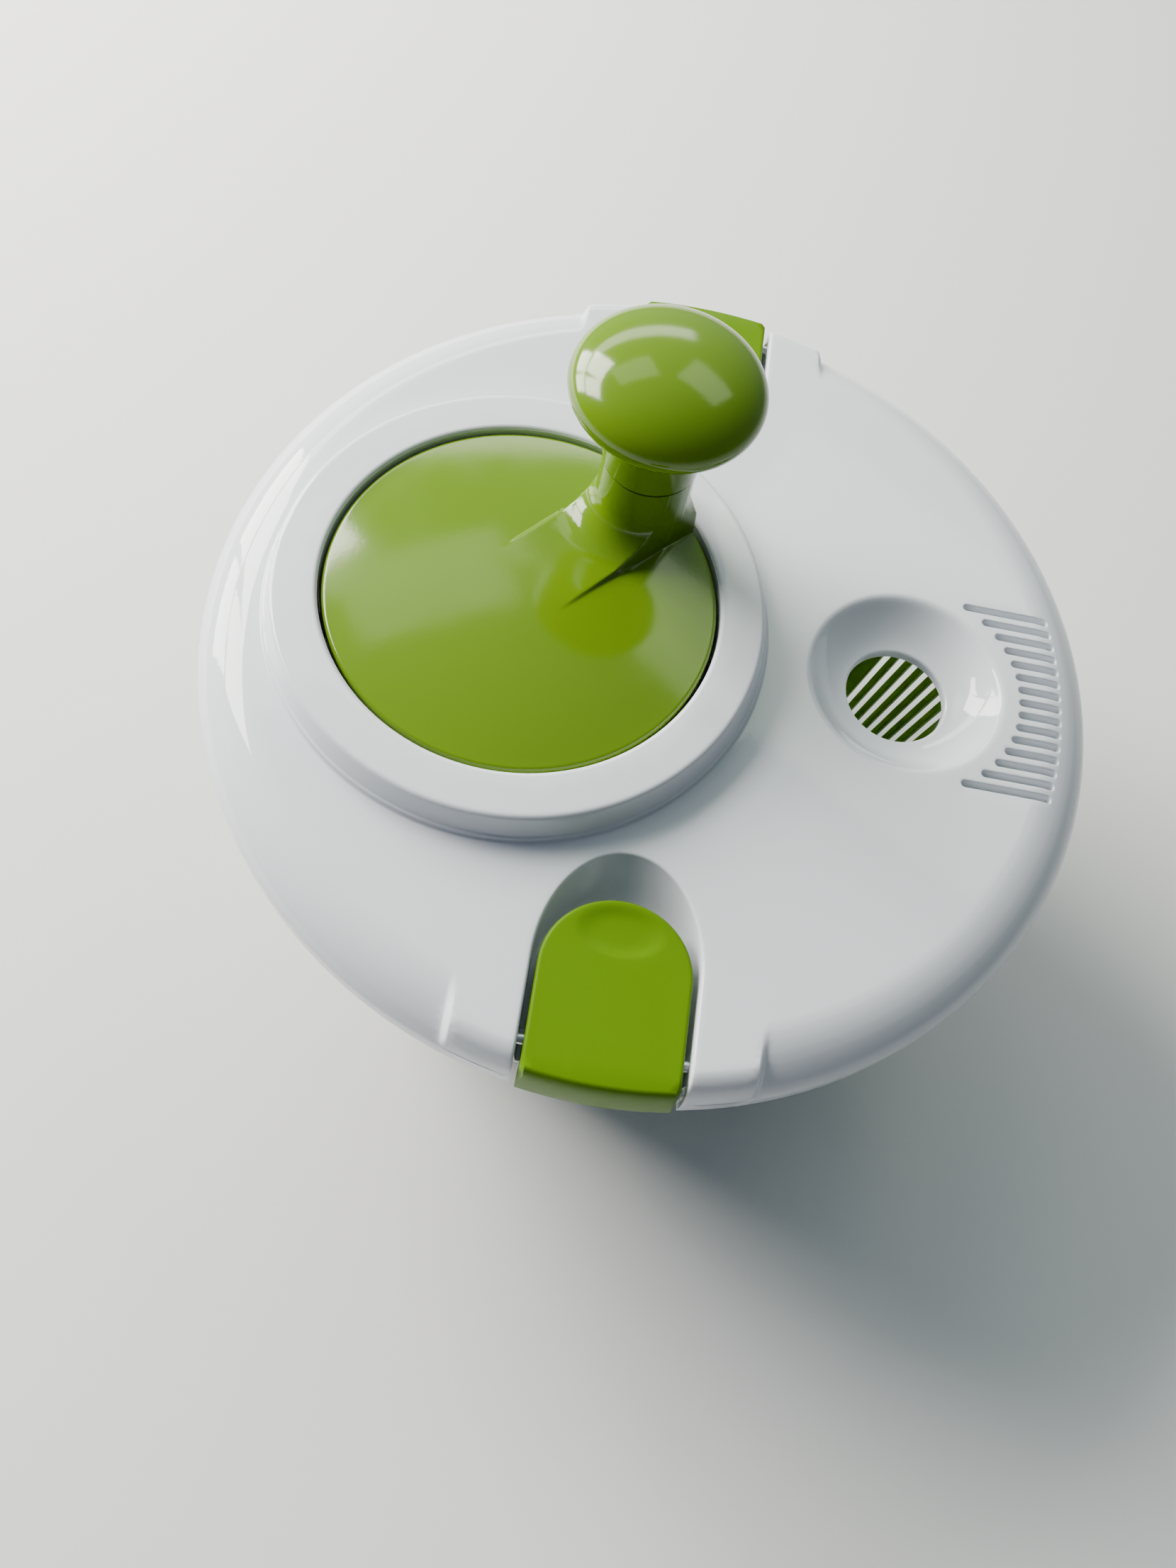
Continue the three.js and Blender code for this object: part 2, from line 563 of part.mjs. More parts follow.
// ---- assembly ----
piece('bowl', bowl(), CLEAR);
piece('pivot_bush', pivotBush(), NATURAL);
piece('basket', basket(), GREEN);
piece('lid_shell', lidShell(), WHITE);
piece('gear_cover', gearCover(), WHITE);
screwSpots.forEach(([x, y], i) => {
  piece(`cover_screw_${i + 1}`, panScrew(CRANK_X + x, y, COVER_BOTTOM - GAP, 1.25, 9, 2.7, 1.7), STEEL);
});
piece('pinion_bush', pinionBush(), NATURAL);
piece('pinion', pinion(), NATURAL);
piece('drive_spider', driveSpider(), WHITE);
piece('drive_screw', driveScrew(), STEEL);
piece('crank_disc', crankDisc(), GREEN);
piece('ring_gear', ringGear(), NATURAL);
ringScrewSpots.forEach(([x, y], i) => {
  piece(`ring_screw_${i + 1}`, panScrew(CRANK_X + x, y, RING_FLANGE_BOTTOM - GAP, 1.2, 6, 2.4, 1.4), STEEL);
});
piece('crank_washer', tube(2.5, 6.5, COVER_BOTTOM - 1.2, COVER_BOTTOM - GAP, CRANK_X, 0, 24), STEEL);
piece('crank_screw', panScrew(CRANK_X, 0, COVER_BOTTOM - 1.5, 1.6, 20, 4, 2), STEEL);
piece('knob', knob(), GREEN);
piece('knob_spindle', knobSpindle(), STEEL);
for (const [name, side] of [['rear', 0], ['front', 180]]) {
  piece(`${name}_latch`, turn(latch(), side), GREEN);
  piece(`${name}_latch_pin`, turn(latchPin(), side), STEEL);
  piece(`${name}_latch_spring`, turn(latchSpring(), side), STEEL);
}

export default spinner;
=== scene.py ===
"""Crank salad spinner: fine surfaces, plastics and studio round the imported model."""

import json
import math

import bmesh
import bpy
import numpy as np
from mathutils import Matrix, Vector
from mathutils.geometry import delaunay_2d_cdt
from mathutils.kdtree import KDTree


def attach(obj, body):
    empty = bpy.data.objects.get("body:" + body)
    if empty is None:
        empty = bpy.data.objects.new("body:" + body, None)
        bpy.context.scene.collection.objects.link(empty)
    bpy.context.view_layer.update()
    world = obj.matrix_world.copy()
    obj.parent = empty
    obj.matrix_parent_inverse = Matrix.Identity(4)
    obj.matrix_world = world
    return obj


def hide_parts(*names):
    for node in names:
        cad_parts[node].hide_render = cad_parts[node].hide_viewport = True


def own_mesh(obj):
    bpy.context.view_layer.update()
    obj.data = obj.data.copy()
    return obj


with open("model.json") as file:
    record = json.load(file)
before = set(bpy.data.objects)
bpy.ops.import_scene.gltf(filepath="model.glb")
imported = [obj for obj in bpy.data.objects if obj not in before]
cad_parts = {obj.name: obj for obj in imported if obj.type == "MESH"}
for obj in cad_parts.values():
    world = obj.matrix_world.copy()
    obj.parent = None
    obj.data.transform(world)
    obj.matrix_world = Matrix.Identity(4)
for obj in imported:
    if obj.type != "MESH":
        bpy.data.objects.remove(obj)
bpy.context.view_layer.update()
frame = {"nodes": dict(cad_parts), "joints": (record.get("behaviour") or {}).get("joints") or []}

MM = 0.001
JOINTS = {joint["name"]: joint for joint in frame["joints"]}


def joint_mm(name):
    """A joint's place in millimetres."""
    return [c / MM for c in JOINTS[name]["pos_m"]]


# ---- driving dimensions in millimetres; a drop or depth counts down from the lid's flat top ----
CRANK_X = joint_mm("crank_spin")[0]
KNOB_X, KNOB_Y = joint_mm("knob_spin")[:2]
STUB_REACH = math.hypot(KNOB_X - CRANK_X, KNOB_Y)
PIN_Y, PIN_Z = joint_mm("rear_latch_press")[1:]
LID_TOP = PIN_Z + 5
LID_R = 130
LID_WALL = 2.5
SHOULDER_R = 113
SHOULDER_DROP = 10.6
SKIRT_DROP = 17
RING_MOUTH_R = 55.9
RING_FOOT_R = 74
COVER_R = 68.5
POCKET_HALF = 21.7
NOTCH_Y = 124.2
DISC_R = 54.9
STUB_R = 13


# ---- shape helpers ----
def smoothstep(low, high, value):
    """0 below low, 1 above high, and an easy curve between."""
    t = np.clip((value - low) / (high - low), 0, 1)
    return t * t * (3 - 2 * t)


def smooth_min(a, b, width):
    """The smaller of two values, blended where they lie within a width of each other."""
    h = np.clip(0.5 + 0.5 * (b - a) / width, 0, 1)
    return b + (a - b) * h - width * h * (1 - h)


def edge_round(distance, radius):
    """How far a rounded edge of this radius falls at a distance from the edge's foot."""
    inside = np.clip(radius - distance, 0, radius)
    return radius - np.sqrt(radius ** 2 - inside ** 2)


def rounded(corners, steps=5):
    """A polyline through corners (x, z, radius) with each corner rounded by an arc of its radius."""
    points = []
    for i, (x, z, radius) in enumerate(corners):
        here = Vector((x, z))
        if radius == 0 or i in (0, len(corners) - 1):
            points.append((x, z))
            continue
        before = (Vector(corners[i - 1][:2]) - here).normalized()
        after = (Vector(corners[i + 1][:2]) - here).normalized()
        half = before.angle(after) / 2
        reach = radius / math.tan(half)
        centre = here + (before + after).normalized() * radius / math.sin(half)
        start = here + before * reach - centre
        end = here + after * reach - centre
        sweep = start.angle_signed(end)
        for k in range(steps + 1):
            turned = start.copy()
            turned.rotate(Matrix.Rotation(-sweep * k / steps, 2))
            points.append(tuple(centre + turned))
    return points


def polar(radius, degrees):
    """A point at a radius and an angle."""
    a = math.radians(degrees)
    return radius * math.cos(a), radius * math.sin(a)


def turned_axes(x, y, degrees):
    """Coordinates along and across a direction."""
    c, s = polar(1, degrees)
    return x * c + y * s, -x * s + y * c


def spun(verts, degrees):
    """Vertices turned about the vertical axis."""
    return np.column_stack([*turned_axes(verts[:, 0], verts[:, 1], -degrees), verts[:, 2]])


def spun_flat(points, degrees):
    """Plan points turned about the origin."""
    return spun(np.column_stack([points, np.zeros(len(points))]), degrees)[:, :2]


def arc_points(radius, x=0, y=0, start=0, end=360, pitch=3):
    """Points on an arc, and whether it closes on itself."""
    closed = abs(end - start) >= 360
    count = max(6, round(abs(math.radians(end - start)) * radius / pitch))
    angles = np.radians(np.linspace(start, end, count + 1))
    points = np.column_stack([x + radius * np.cos(angles), y + radius * np.sin(angles)])
    return (points[:-1] if closed else points), closed


def line_points(a, b, pitch=3):
    """Points on a straight line, and that it is open."""
    count = max(1, round(math.dist(a, b) / pitch))
    return np.linspace(a, b, count + 1), False


def rectangle(x0, x1, y0, y1, pitch=1.2):
    """A closed rectangle as a loop."""
    corners = [(x0, y0), (x1, y0), (x1, y1), (x0, y1)]
    sides = [line_points(corners[k], corners[(k + 1) % 4], pitch)[0][:-1] for k in range(4)]
    return np.vstack(sides), True


def arch(half, depth, round_y, far_y, steps):
    """A U-shaped outline, open at far_y: straight sides and an elliptical inner end."""
    angles = np.radians(np.linspace(0, -180, steps))
    bend = np.column_stack([half * np.cos(angles), round_y + depth * np.sin(angles)])
    reach = np.linspace(far_y, round_y, 12)[:-1]
    return np.array([*[(half, y) for y in reach], *map(tuple, bend), *[(-half, y) for y in reach[::-1]]])


def slot_edges(x, y, low, high, radius):
    """Distance outside a slot that lies along X between its two end centres."""
    return np.hypot(x - np.clip(x, low, high), y) - radius


def nearest_of(shape, distances):
    """The smallest of several distances, starting from far away."""
    best = np.full_like(shape, 1e3)
    for distance in distances:
        best = np.minimum(best, distance)
    return best


GRID_ROW = 0.866
GRID_CLEARANCE = 0.6


def plan(loops, inside, pitch, low, high):
    """Triangles over a plan: every loop's points and edges are kept, and a loose grid fills between them."""
    points, edges = [], []
    for loop, closed in loops:
        first = len(points)
        points.extend(map(tuple, loop))
        edges.extend((first + i, first + i + 1) for i in range(len(loop) - 1))
        if closed:
            edges.append((len(points) - 1, first))
    tree = KDTree(len(points))
    for i, point in enumerate(points):
        tree.insert((*point, 0), i)
    tree.balance()
    rows = np.arange(low[1], high[1], pitch * GRID_ROW)
    for row, y in enumerate(rows):
        for x in np.arange(low[0] + (row % 2) * pitch / 2, high[0], pitch):
            if tree.find((x, y, 0))[2] > pitch * GRID_CLEARANCE:
                points.append((x, y))
    verts, _, faces = delaunay_2d_cdt([Vector(p) for p in points], edges, [], 0, 1e-4, False)[:3]
    verts = np.array([tuple(v) for v in verts])
    faces = np.array([f for f in faces if len(f) == 3])
    a, b, c = (verts[faces[:, k]] for k in range(3))
    area = (b[:, 0] - a[:, 0]) * (c[:, 1] - a[:, 1]) - (b[:, 1] - a[:, 1]) * (c[:, 0] - a[:, 0])
    faces = np.where((area < 0)[:, None], faces[:, ::-1], faces)
    centre = (a + b + c) / 3
    faces = faces[inside(centre[:, 0], centre[:, 1]) & (np.abs(area) > 1e-7)]
    used, index = np.unique(faces, return_inverse=True)
    return verts[used], index.reshape(-1, 3)


def shell_data(triangles, top, under, open_edge=None):
    """Vertices and faces of a closed shell between two mapped sheets over the same plan. Edges with both
    ends where open_edge says get no wall, because another part continues the shell there."""
    verts, faces = triangles
    count = len(verts)
    upper = np.column_stack(top(verts[:, 0], verts[:, 1]))
    lower = np.column_stack(under(verts[:, 0], verts[:, 1]))
    directed = np.vstack([faces[:, [0, 1]], faces[:, [1, 2]], faces[:, [2, 0]]])
    key = directed[:, 0] * count + directed[:, 1]
    back = directed[:, 1] * count + directed[:, 0]
    rim = directed[~np.isin(key, back)]
    if open_edge:
        free = open_edge(verts[:, 0], verts[:, 1])
        rim = rim[~(free[rim[:, 0]] & free[rim[:, 1]])]
    walls = np.column_stack([rim[:, 0] + count, rim[:, 1] + count, rim[:, 1], rim[:, 0]])
    return np.vstack([upper, lower]), [*faces.tolist(), *(faces[:, ::-1] + count).tolist(), *walls.tolist()]


def flat_sheet(height):
    """A level sheet over a plan."""
    return lambda x, y: (x, y, height + 0 * x)


def turned_data(profile, segments, x=0, y=0, start=0, end=360):
    """Vertices and faces of a profile turned about a vertical axis."""
    full = abs(end - start) >= 360
    columns = segments if full else segments + 1
    angles = np.radians(start + (end - start) * np.arange(columns) / segments)
    verts = [(x + r * math.cos(a), y + r * math.sin(a), z) for a in angles for r, z in profile]
    rows = len(profile)
    faces = []
    for i in range(segments):
        j = (i + 1) % columns
        for k in range(rows - 1):
            faces.append((i * rows + k, j * rows + k, j * rows + k + 1, i * rows + k + 1))
    return np.array(verts), faces


SHARP_DEGREES = 35


def piece(name, parts, material, body, node, merge=0.01):
    """One mesh object from (vertices, faces) parts in millimetres, riding on a body in a CAD node's place."""
    verts, faces, offset = [], [], 0
    for part_verts, part_faces in parts:
        verts.append(np.asarray(part_verts))
        faces.extend([tuple(i + offset for i in face) for face in part_faces])
        offset += len(part_verts)
    mesh = bpy.data.meshes.new(name)
    mesh.from_pydata((np.vstack(verts) * MM).tolist(), [], faces)
    mesh.validate()
    obj = bpy.data.objects.new(name, mesh)
    bpy.context.scene.collection.objects.link(obj)
    bm = bmesh.new()
    bm.from_mesh(mesh)
    bmesh.ops.remove_doubles(bm, verts=bm.verts, dist=merge * MM)
    bmesh.ops.recalc_face_normals(bm, faces=bm.faces)
    bm.to_mesh(mesh)
    bm.free()
    mesh.shade_smooth()
    mesh.set_sharp_from_angle(angle=math.radians(SHARP_DEGREES))
    mesh.materials.append(material)
    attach(obj, body)
    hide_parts(node)
    return obj


# ---- materials ----
def noise(nodes, links, coords, scale, detail):
    """A noise texture in the object's own space; gives its value's socket."""
    texture = nodes.new("ShaderNodeTexNoise")
    texture.inputs["Scale"].default_value = scale
    texture.inputs["Detail"].default_value = detail
    links.new(coords.outputs["Object"], texture.inputs["Vector"])
    return texture.outputs["Fac"]


def plastic(name, colour, roughness, speck=0.03, grain=0.02, shine=0.5):
    """Moulded plastic: faint flow marks in its tone, uneven gloss and a fine orange-peel bump."""
    material = bpy.data.materials.new(name)
    material.use_nodes = True
    nodes, links = material.node_tree.nodes, material.node_tree.links
    shader = nodes["Principled BSDF"]
    shader.inputs["IOR"].default_value = 1.5
    shader.inputs["Specular IOR Level"].default_value = shine
    coords = nodes.new("ShaderNodeTexCoord")

    tone = nodes.new("ShaderNodeValToRGB")
    low, high = tone.color_ramp.elements
    low.position, high.position = 0.3, 0.75
    low.color = (*[c * (1 - speck) for c in colour], 1)
    high.color = (*[min(1, c * (1 + speck)) for c in colour], 1)
    links.new(noise(nodes, links, coords, 14, 3), tone.inputs["Fac"])
    links.new(tone.outputs["Color"], shader.inputs["Base Color"])

    gloss = nodes.new("ShaderNodeMapRange")
    gloss.inputs["From Min"].default_value = 0.35
    gloss.inputs["From Max"].default_value = 0.7
    gloss.inputs["To Min"].default_value = roughness * 0.85
    gloss.inputs["To Max"].default_value = roughness * 1.25
    links.new(noise(nodes, links, coords, 60, 6), gloss.inputs["Value"])
    links.new(gloss.outputs["Result"], shader.inputs["Roughness"])

    bump = nodes.new("ShaderNodeBump")
    bump.inputs["Strength"].default_value = grain
    bump.inputs["Distance"].default_value = 0.0004
    links.new(noise(nodes, links, coords, 900, 2), bump.inputs["Height"])
    links.new(bump.outputs["Normal"], shader.inputs["Normal"])
    return material


def with_values(material, **values):
    """The same material with uniform values on its shader's sockets."""
    for socket, value in values.items():
        material.node_tree.nodes["Principled BSDF"].inputs[socket.replace("_", " ")].default_value = value
    return material


WHITE = plastic("white_gloss_plastic", (0.745, 0.775, 0.83), 0.05, speck=0.012)
GREEN = plastic("green_gloss_plastic", (0.11, 0.212, 0.001), 0.12)
BASKET_GREEN = plastic("green_basket_plastic", (0.22, 0.46, 0.01), 0.2, speck=0.04)
SATIN = plastic("green_satin_plastic", (0.1, 0.215, 0.001), 0.32, speck=0.04, grain=0.06, shine=0.08)
NATURAL = plastic("natural_acetal", (0.76, 0.74, 0.68), 0.42, speck=0.02, grain=0.05)
STEEL = with_values(plastic("bright_steel", (0.62, 0.63, 0.65), 0.28, grain=0.05), Metallic=1)
CLEAR = with_values(
    plastic("clear_styrene", (0.93, 0.97, 0.98), 0.02, speck=0.01, grain=0.008),
    Transmission_Weight=1, IOR=1.4)


# ---- lid ----
# its shoulder, and the raised ears either side of each latch
SHOULDER_CURVE = 1.9
SHOULDER_SQUARE = 1 / 1.5
EAR_R = 122.5
EAR_SPAN = 7.4
EAR_CURVE = 2.2
EAR_OUTER = 39.5
EAR_BLEND = 1.2
# pouring funnel
FUNNEL_X = 71.9
FUNNEL_R = 28.6
FUNNEL_REACH = FUNNEL_R + 6
FUNNEL_HOLE_R = 15
FUNNEL_DEPTH = 8.9
FUNNEL_CURVE = 1.75
FUNNEL_WALL = 2.2
# drain slots, fanned between two arcs, and the deeper grille between them
DRAIN_SLOTS = 15
DRAIN_PITCH = 4.2
DRAIN_HALF = 1.05
DRAIN_INNER_R = 33.8
DRAIN_OUTER_R = 118.5
DRAIN_EDGE = 0.4
DRAIN_AREA_X = 80
DRAIN_AREA_Y = 33
GRILLE_DEPTH = 2.4
# latch pockets
POCKET_ROUND_Y = 99
POCKET_DEPTH_Y = 30.7
POCKET_FLOOR = 14.6
POCKET_LIP = 0.9
POCKET_WALL = 2.2
SILL_DROP = 8.8
SILL_SPAN = 1.4
# ribs underneath: one round the basket's rim, one on the bowl's rim and one round the gear cover
GUIDE_R = 115.6
GUIDE_WALL = 2
GUIDE_DROP = 14.4
SEAT_R = 121
SEAT_WIDTH = 2.4
SEAT_DROP = 10.7
COVER_RIB_IN = COVER_R - 2
COVER_RIB_OUT = COVER_R + 1
COVER_RIB_DROP = 10.2
# how far either side of an upright step the mesh's two lines lie
STEP = 0.05

RING_PROFILE = rounded([
    (RING_FOOT_R, 0, 0), (71.5, 0, 0.8), (71.2, 1.7, 0.4), (70.5, 2.0, 0.5), (68.6, 9.8, 1.6),
    (RING_MOUTH_R, 10.3, 1.3), (RING_MOUTH_R, 6, 0),
])
RING_SPLIT = sorted((r, z) for r, z in RING_PROFILE if r > RING_MOUTH_R + 0.01)


def rim_curve(u, curve, square):
    """A shoulder's share of its full fall, as u runs from 0 to 1 across it."""
    return 1 - (1 - np.clip(u, 0, 1) ** curve) ** square


def shoulder_curve(r, outer_r):
    """The lid's own shoulder, ending at an outer radius."""
    return rim_curve((r - SHOULDER_R) / (outer_r - SHOULDER_R), SHOULDER_CURVE, SHOULDER_SQUARE)


def ring_rise(rho):
    """The raised crank ring's height over the lid at a distance from the crank's axis."""
    return np.interp(rho, [p[0] for p in RING_SPLIT], [p[1] for p in RING_SPLIT])


def dish(s):
    """The funnel's height at a distance from its axis."""
    t = (s - FUNNEL_HOLE_R) / (FUNNEL_R - FUNNEL_HOLE_R)
    bowl = -FUNNEL_DEPTH * (1 - np.sign(t) * np.abs(t) ** FUNNEL_CURVE)
    return smooth_min(bowl, 0 * s, 1.3) - edge_round(s - FUNNEL_HOLE_R, 0.8)


def slot_row(i):
    """A drain slot's y and the centres of its two round ends."""
    y = (i - (DRAIN_SLOTS - 1) / 2) * DRAIN_PITCH
    left = FUNNEL_X + math.sqrt(DRAIN_INNER_R ** 2 - y ** 2) + DRAIN_HALF
    right = math.sqrt(DRAIN_OUTER_R ** 2 - y ** 2) - DRAIN_HALF
    return y, left, right


def slot_distance(x, y):
    """Distance outside the nearest drain slot."""
    rows = [slot_row(i) for i in range(DRAIN_SLOTS)]
    return nearest_of(x, [slot_edges(x, y - row, left, right, DRAIN_HALF) for row, left, right in rows])


def pocket_place(x, y, grow=0.0):
    """In a latch pocket's plan: 1 on its outline and 0 at its middle, the share of it that faces the lid's
    centre, and the distance outside the outline."""
    half, depth = POCKET_HALF + grow, POCKET_DEPTH_Y + grow
    ahead = np.maximum(POCKET_ROUND_Y - np.abs(y), 0)
    q = np.hypot(x / half, ahead / depth) + 1e-9
    facing = ahead / depth / q
    outside = (q - 1) * np.hypot(x, ahead) / q
    return q, facing, outside


def pocket_depth(x, y, grow=0.0):
    """0 on the pocket's outline and 1 on its floor; the end that faces the centre slopes gently."""
    q, facing, _ = pocket_place(x, y, grow)
    width = 0.035 + 0.36 * facing ** 2
    t = np.clip((1 - q) / width, 0, 1)
    return 1 - (1 - t) ** 2


def pocket_floor(y):
    """The pocket floor's drop: deep inside the guide rib, shallow on the sill over the bowl's rim."""
    return POCKET_FLOOR + (SILL_DROP - POCKET_FLOOR) * smoothstep(GUIDE_R, GUIDE_R + SILL_SPAN, np.abs(y))


def lid_top(x, y):
    """The lid's outer sheet over its plan."""
    r = np.hypot(x, y)
    rho = np.hypot(x - CRANK_X, y)
    s = np.hypot(x - FUNNEL_X, y)
    shoulder = -SHOULDER_DROP * shoulder_curve(r, LID_R)
    ear = -SHOULDER_DROP * rim_curve((r - EAR_R) / EAR_SPAN, EAR_CURVE, 1 / EAR_CURVE)
    by_latch = 1 - smoothstep(EAR_OUTER - EAR_BLEND, EAR_OUTER + EAR_BLEND, np.abs(x))
    z = shoulder + (ear - shoulder) * by_latch
    z = z + np.where(rho < RING_FOOT_R, ring_rise(rho), 0)
    z = np.where(s < FUNNEL_REACH, dish(s), z)
    z = z - edge_round(slot_distance(x, y), DRAIN_EDGE)
    q, _, outside = pocket_place(x, y)
    z = z - np.where(q >= 1, edge_round(outside, POCKET_LIP), 0)
    sunk = pocket_depth(x, y)
    z = np.where(q < 1, (z - POCKET_LIP) * (1 - sunk) - pocket_floor(y) * sunk, z)
    return x, y, LID_TOP + z


def lid_under(x, y):
    """The lid's inner sheet over the same plan."""
    r = np.hypot(x, y)
    rho = np.hypot(x - CRANK_X, y)
    s = np.hypot(x - FUNNEL_X, y)
    z = -LID_WALL - (SHOULDER_DROP - LID_WALL) * shoulder_curve(r, LID_R - LID_WALL)
    z = np.where(s < FUNNEL_REACH, dish(s) - FUNNEL_WALL, z)
    z = z - GRILLE_DEPTH * (1 - smoothstep(1.2, 4.5, slot_distance(x, y)))
    drains = (x > DRAIN_AREA_X) & (np.abs(y) < DRAIN_AREA_Y)
    z = np.where((r > GUIDE_R - GUIDE_WALL) & (r < GUIDE_R) & ~drains, -GUIDE_DROP, z)
    z = np.where((r > SEAT_R) & (r < SEAT_R + SEAT_WIDTH), -SEAT_DROP, z)
    z = np.where((rho > COVER_RIB_IN) & (rho < COVER_RIB_OUT), -COVER_RIB_DROP, z)
    q, _, _ = pocket_place(x, y, POCKET_WALL)
    sunk = pocket_depth(x, y, POCKET_WALL)
    floor = pocket_floor(y) + POCKET_WALL
    floor = np.where(np.abs(y) > GUIDE_R, np.minimum(floor, SHOULDER_DROP), floor)
    z = np.where(q < 1, np.minimum(z, -LID_WALL * (1 - sunk) - floor * sunk), z)
    z = np.where(r > LID_R - LID_WALL, -SKIRT_DROP, z)
    return x, y, LID_TOP + z


def lid_inside(x, y):
    """Where the lid's plan is solid: inside its rim and outside its openings."""
    notch = (np.abs(x) < POCKET_HALF) & (np.abs(y) > NOTCH_Y)
    mouth = np.hypot(x - CRANK_X, y) < RING_MOUTH_R
    hole = np.hypot(x - FUNNEL_X, y) < FUNNEL_HOLE_R
    return (np.hypot(x, y) < LID_R) & ~notch & ~mouth & ~hole & (slot_distance(x, y) > 0)


def pocket_loop(side, grow):
    """A latch pocket's outline grown by a distance, as an open line from rim to rim."""
    return arch(POCKET_HALF + grow, POCKET_DEPTH_Y + grow, POCKET_ROUND_Y, LID_R, 45) * side, False


def drain_loop(i, grow):
    """A drain slot's outline grown by a distance."""
    y, left, right = slot_row(i)
    half = DRAIN_HALF + grow
    right_end = arc_points(half, right, y, -90, 90, 0.6)[0]
    left_end = arc_points(half, left, y, 90, 270, 0.6)[0]
    back = line_points((right, y + half), (left, y + half), 1.8)[0][1:-1]
    forth = line_points((left, y - half), (right, y - half), 1.8)[0][1:-1]
    return np.vstack([right_end, back, left_end, forth]), True


SHOULDER_RINGS = (
    113, 114.5, 116, 117.5, 119, 120.5, 122, 123.5, 125, 126.2, 127.2, 128,
    128.7, 129.25, 129.65, 129.9, LID_R)
DISH_RINGS = (
    0, 0.1, 0.25, 0.5, 0.8, 1.8, 3.2, 4.8, 6.4, 8, 9.4, 10.6, 11.6, 12.5, 13.3, 14.1, 15, 16, 17.2, 18.5, 20)
POCKET_RINGS = (
    2.25, 2.15, 0.9, 0.6, 0.35, 0.15, 0, -0.12, -0.3, -0.5, -0.76, -1.3, -2.2,
    -3.3, -4.6, -6, -7.6, -9.4, -11.4)


def lid_loops():
    """Lines the lid's mesh follows: close together where its surface bends or steps."""
    loops = [arc_points(r) for r in SHOULDER_RINGS]
    loops += [arc_points(edge + d) for edge in (GUIDE_R - GUIDE_WALL, GUIDE_R) for d in (-STEP, STEP)]
    loops += [arc_points(edge + d) for edge in (SEAT_R, SEAT_R + SEAT_WIDTH) for d in (-STEP, STEP)]
    loops += [arc_points(LID_R - LID_WALL + d) for d in (-2 * STEP, 2 * STEP)]
    loops += [arc_points(r, CRANK_X, pitch=2.4) for r in sorted({round(p[0], 3) for p in RING_PROFILE})]
    loops += [arc_points(edge + d, CRANK_X) for edge in (COVER_RIB_IN, COVER_RIB_OUT) for d in (-STEP, STEP)]
    loops += [arc_points(FUNNEL_HOLE_R + d, FUNNEL_X, pitch=1.8) for d in DISH_RINGS]
    loops += [drain_loop(i, grow) for i in range(DRAIN_SLOTS) for grow in (0, 0.1, 0.25, DRAIN_EDGE)]
    for side in (1, -1):
        loops += [pocket_loop(side, grow) for grow in POCKET_RINGS]
        for mirror in (1, -1):
            for d in (-1.2, -0.8, -0.4, 0, 0.4, 0.8, 1.2):
                x = (EAR_OUTER + d) * mirror
                loops.append(line_points((x, 100 * side), (x, math.sqrt(LID_R ** 2 - x ** 2) * side), 2.5))
            x = POCKET_HALF * mirror
            loops.append(line_points((x, NOTCH_Y * side), (x, LID_R * side), 2))
        for y in (GUIDE_R, GUIDE_R + 0.5, GUIDE_R + 0.9, GUIDE_R + SILL_SPAN, NOTCH_Y):
            loops.append(line_points((-POCKET_HALF, y * side), (POCKET_HALF, y * side)))
        for r in (124, 126.8, 127.8, 128.4, 129):
            start = math.degrees(math.acos((EAR_OUTER + 2) / r))
            loops.append(arc_points(r, 0, 0, side * start, side * (180 - start)))
    return loops


def lid():
    triangles = plan(lid_loops(), lid_inside, 4.2, (-LID_R, -LID_R), (LID_R, LID_R))
    piece("lid", [shell_data(triangles, lid_top, lid_under)], WHITE, "lid", "lid_shell")


# ---- crank: a domed disc with an arm and a stub, its plan drawn round its own axis ----
DISC_EDGE = 8.7
DISC_APEX = 13
DISC_WALL = 2.5
DISC_SKIRT = 2.2
DISC_SKIRT_LOW = 3.4
ARM_HALF = 12.7
ARM_LOW = DISC_APEX - 0.05
ARM_RISE = 0.014
STUB_TOP = 35.7
SWEEP_R = 11
ARM_DEGREES = math.degrees(math.atan2(KNOB_Y, KNOB_X - CRANK_X))
DISC_RINGS = (
    4, 9, 14, 19, 24, 29, 34, 39, 44, 48, 51, 52.6, 52.8, 53.6, 53.9,
    54.15, 54.35, 54.55, 54.7, 54.82, DISC_R)
FLANK_LINES = (-1.4, -0.75, -0.55, -0.35, -0.1, 0.1, 0.3, 0.55, 1.0)
STUB_RINGS = (-2, -0.25, -0.12, -0.02, 0.02, 0.12, 0.3, 0.6, 1, 1.5, 2.1, 2.8, 3.7, 4.8, 6.2, 8, 9.5, 11)


def disc_dome(r):
    """The disc's height at a distance from its axis."""
    return DISC_EDGE + (DISC_APEX - DISC_EDGE) * (1 - (r / DISC_R) ** 2)


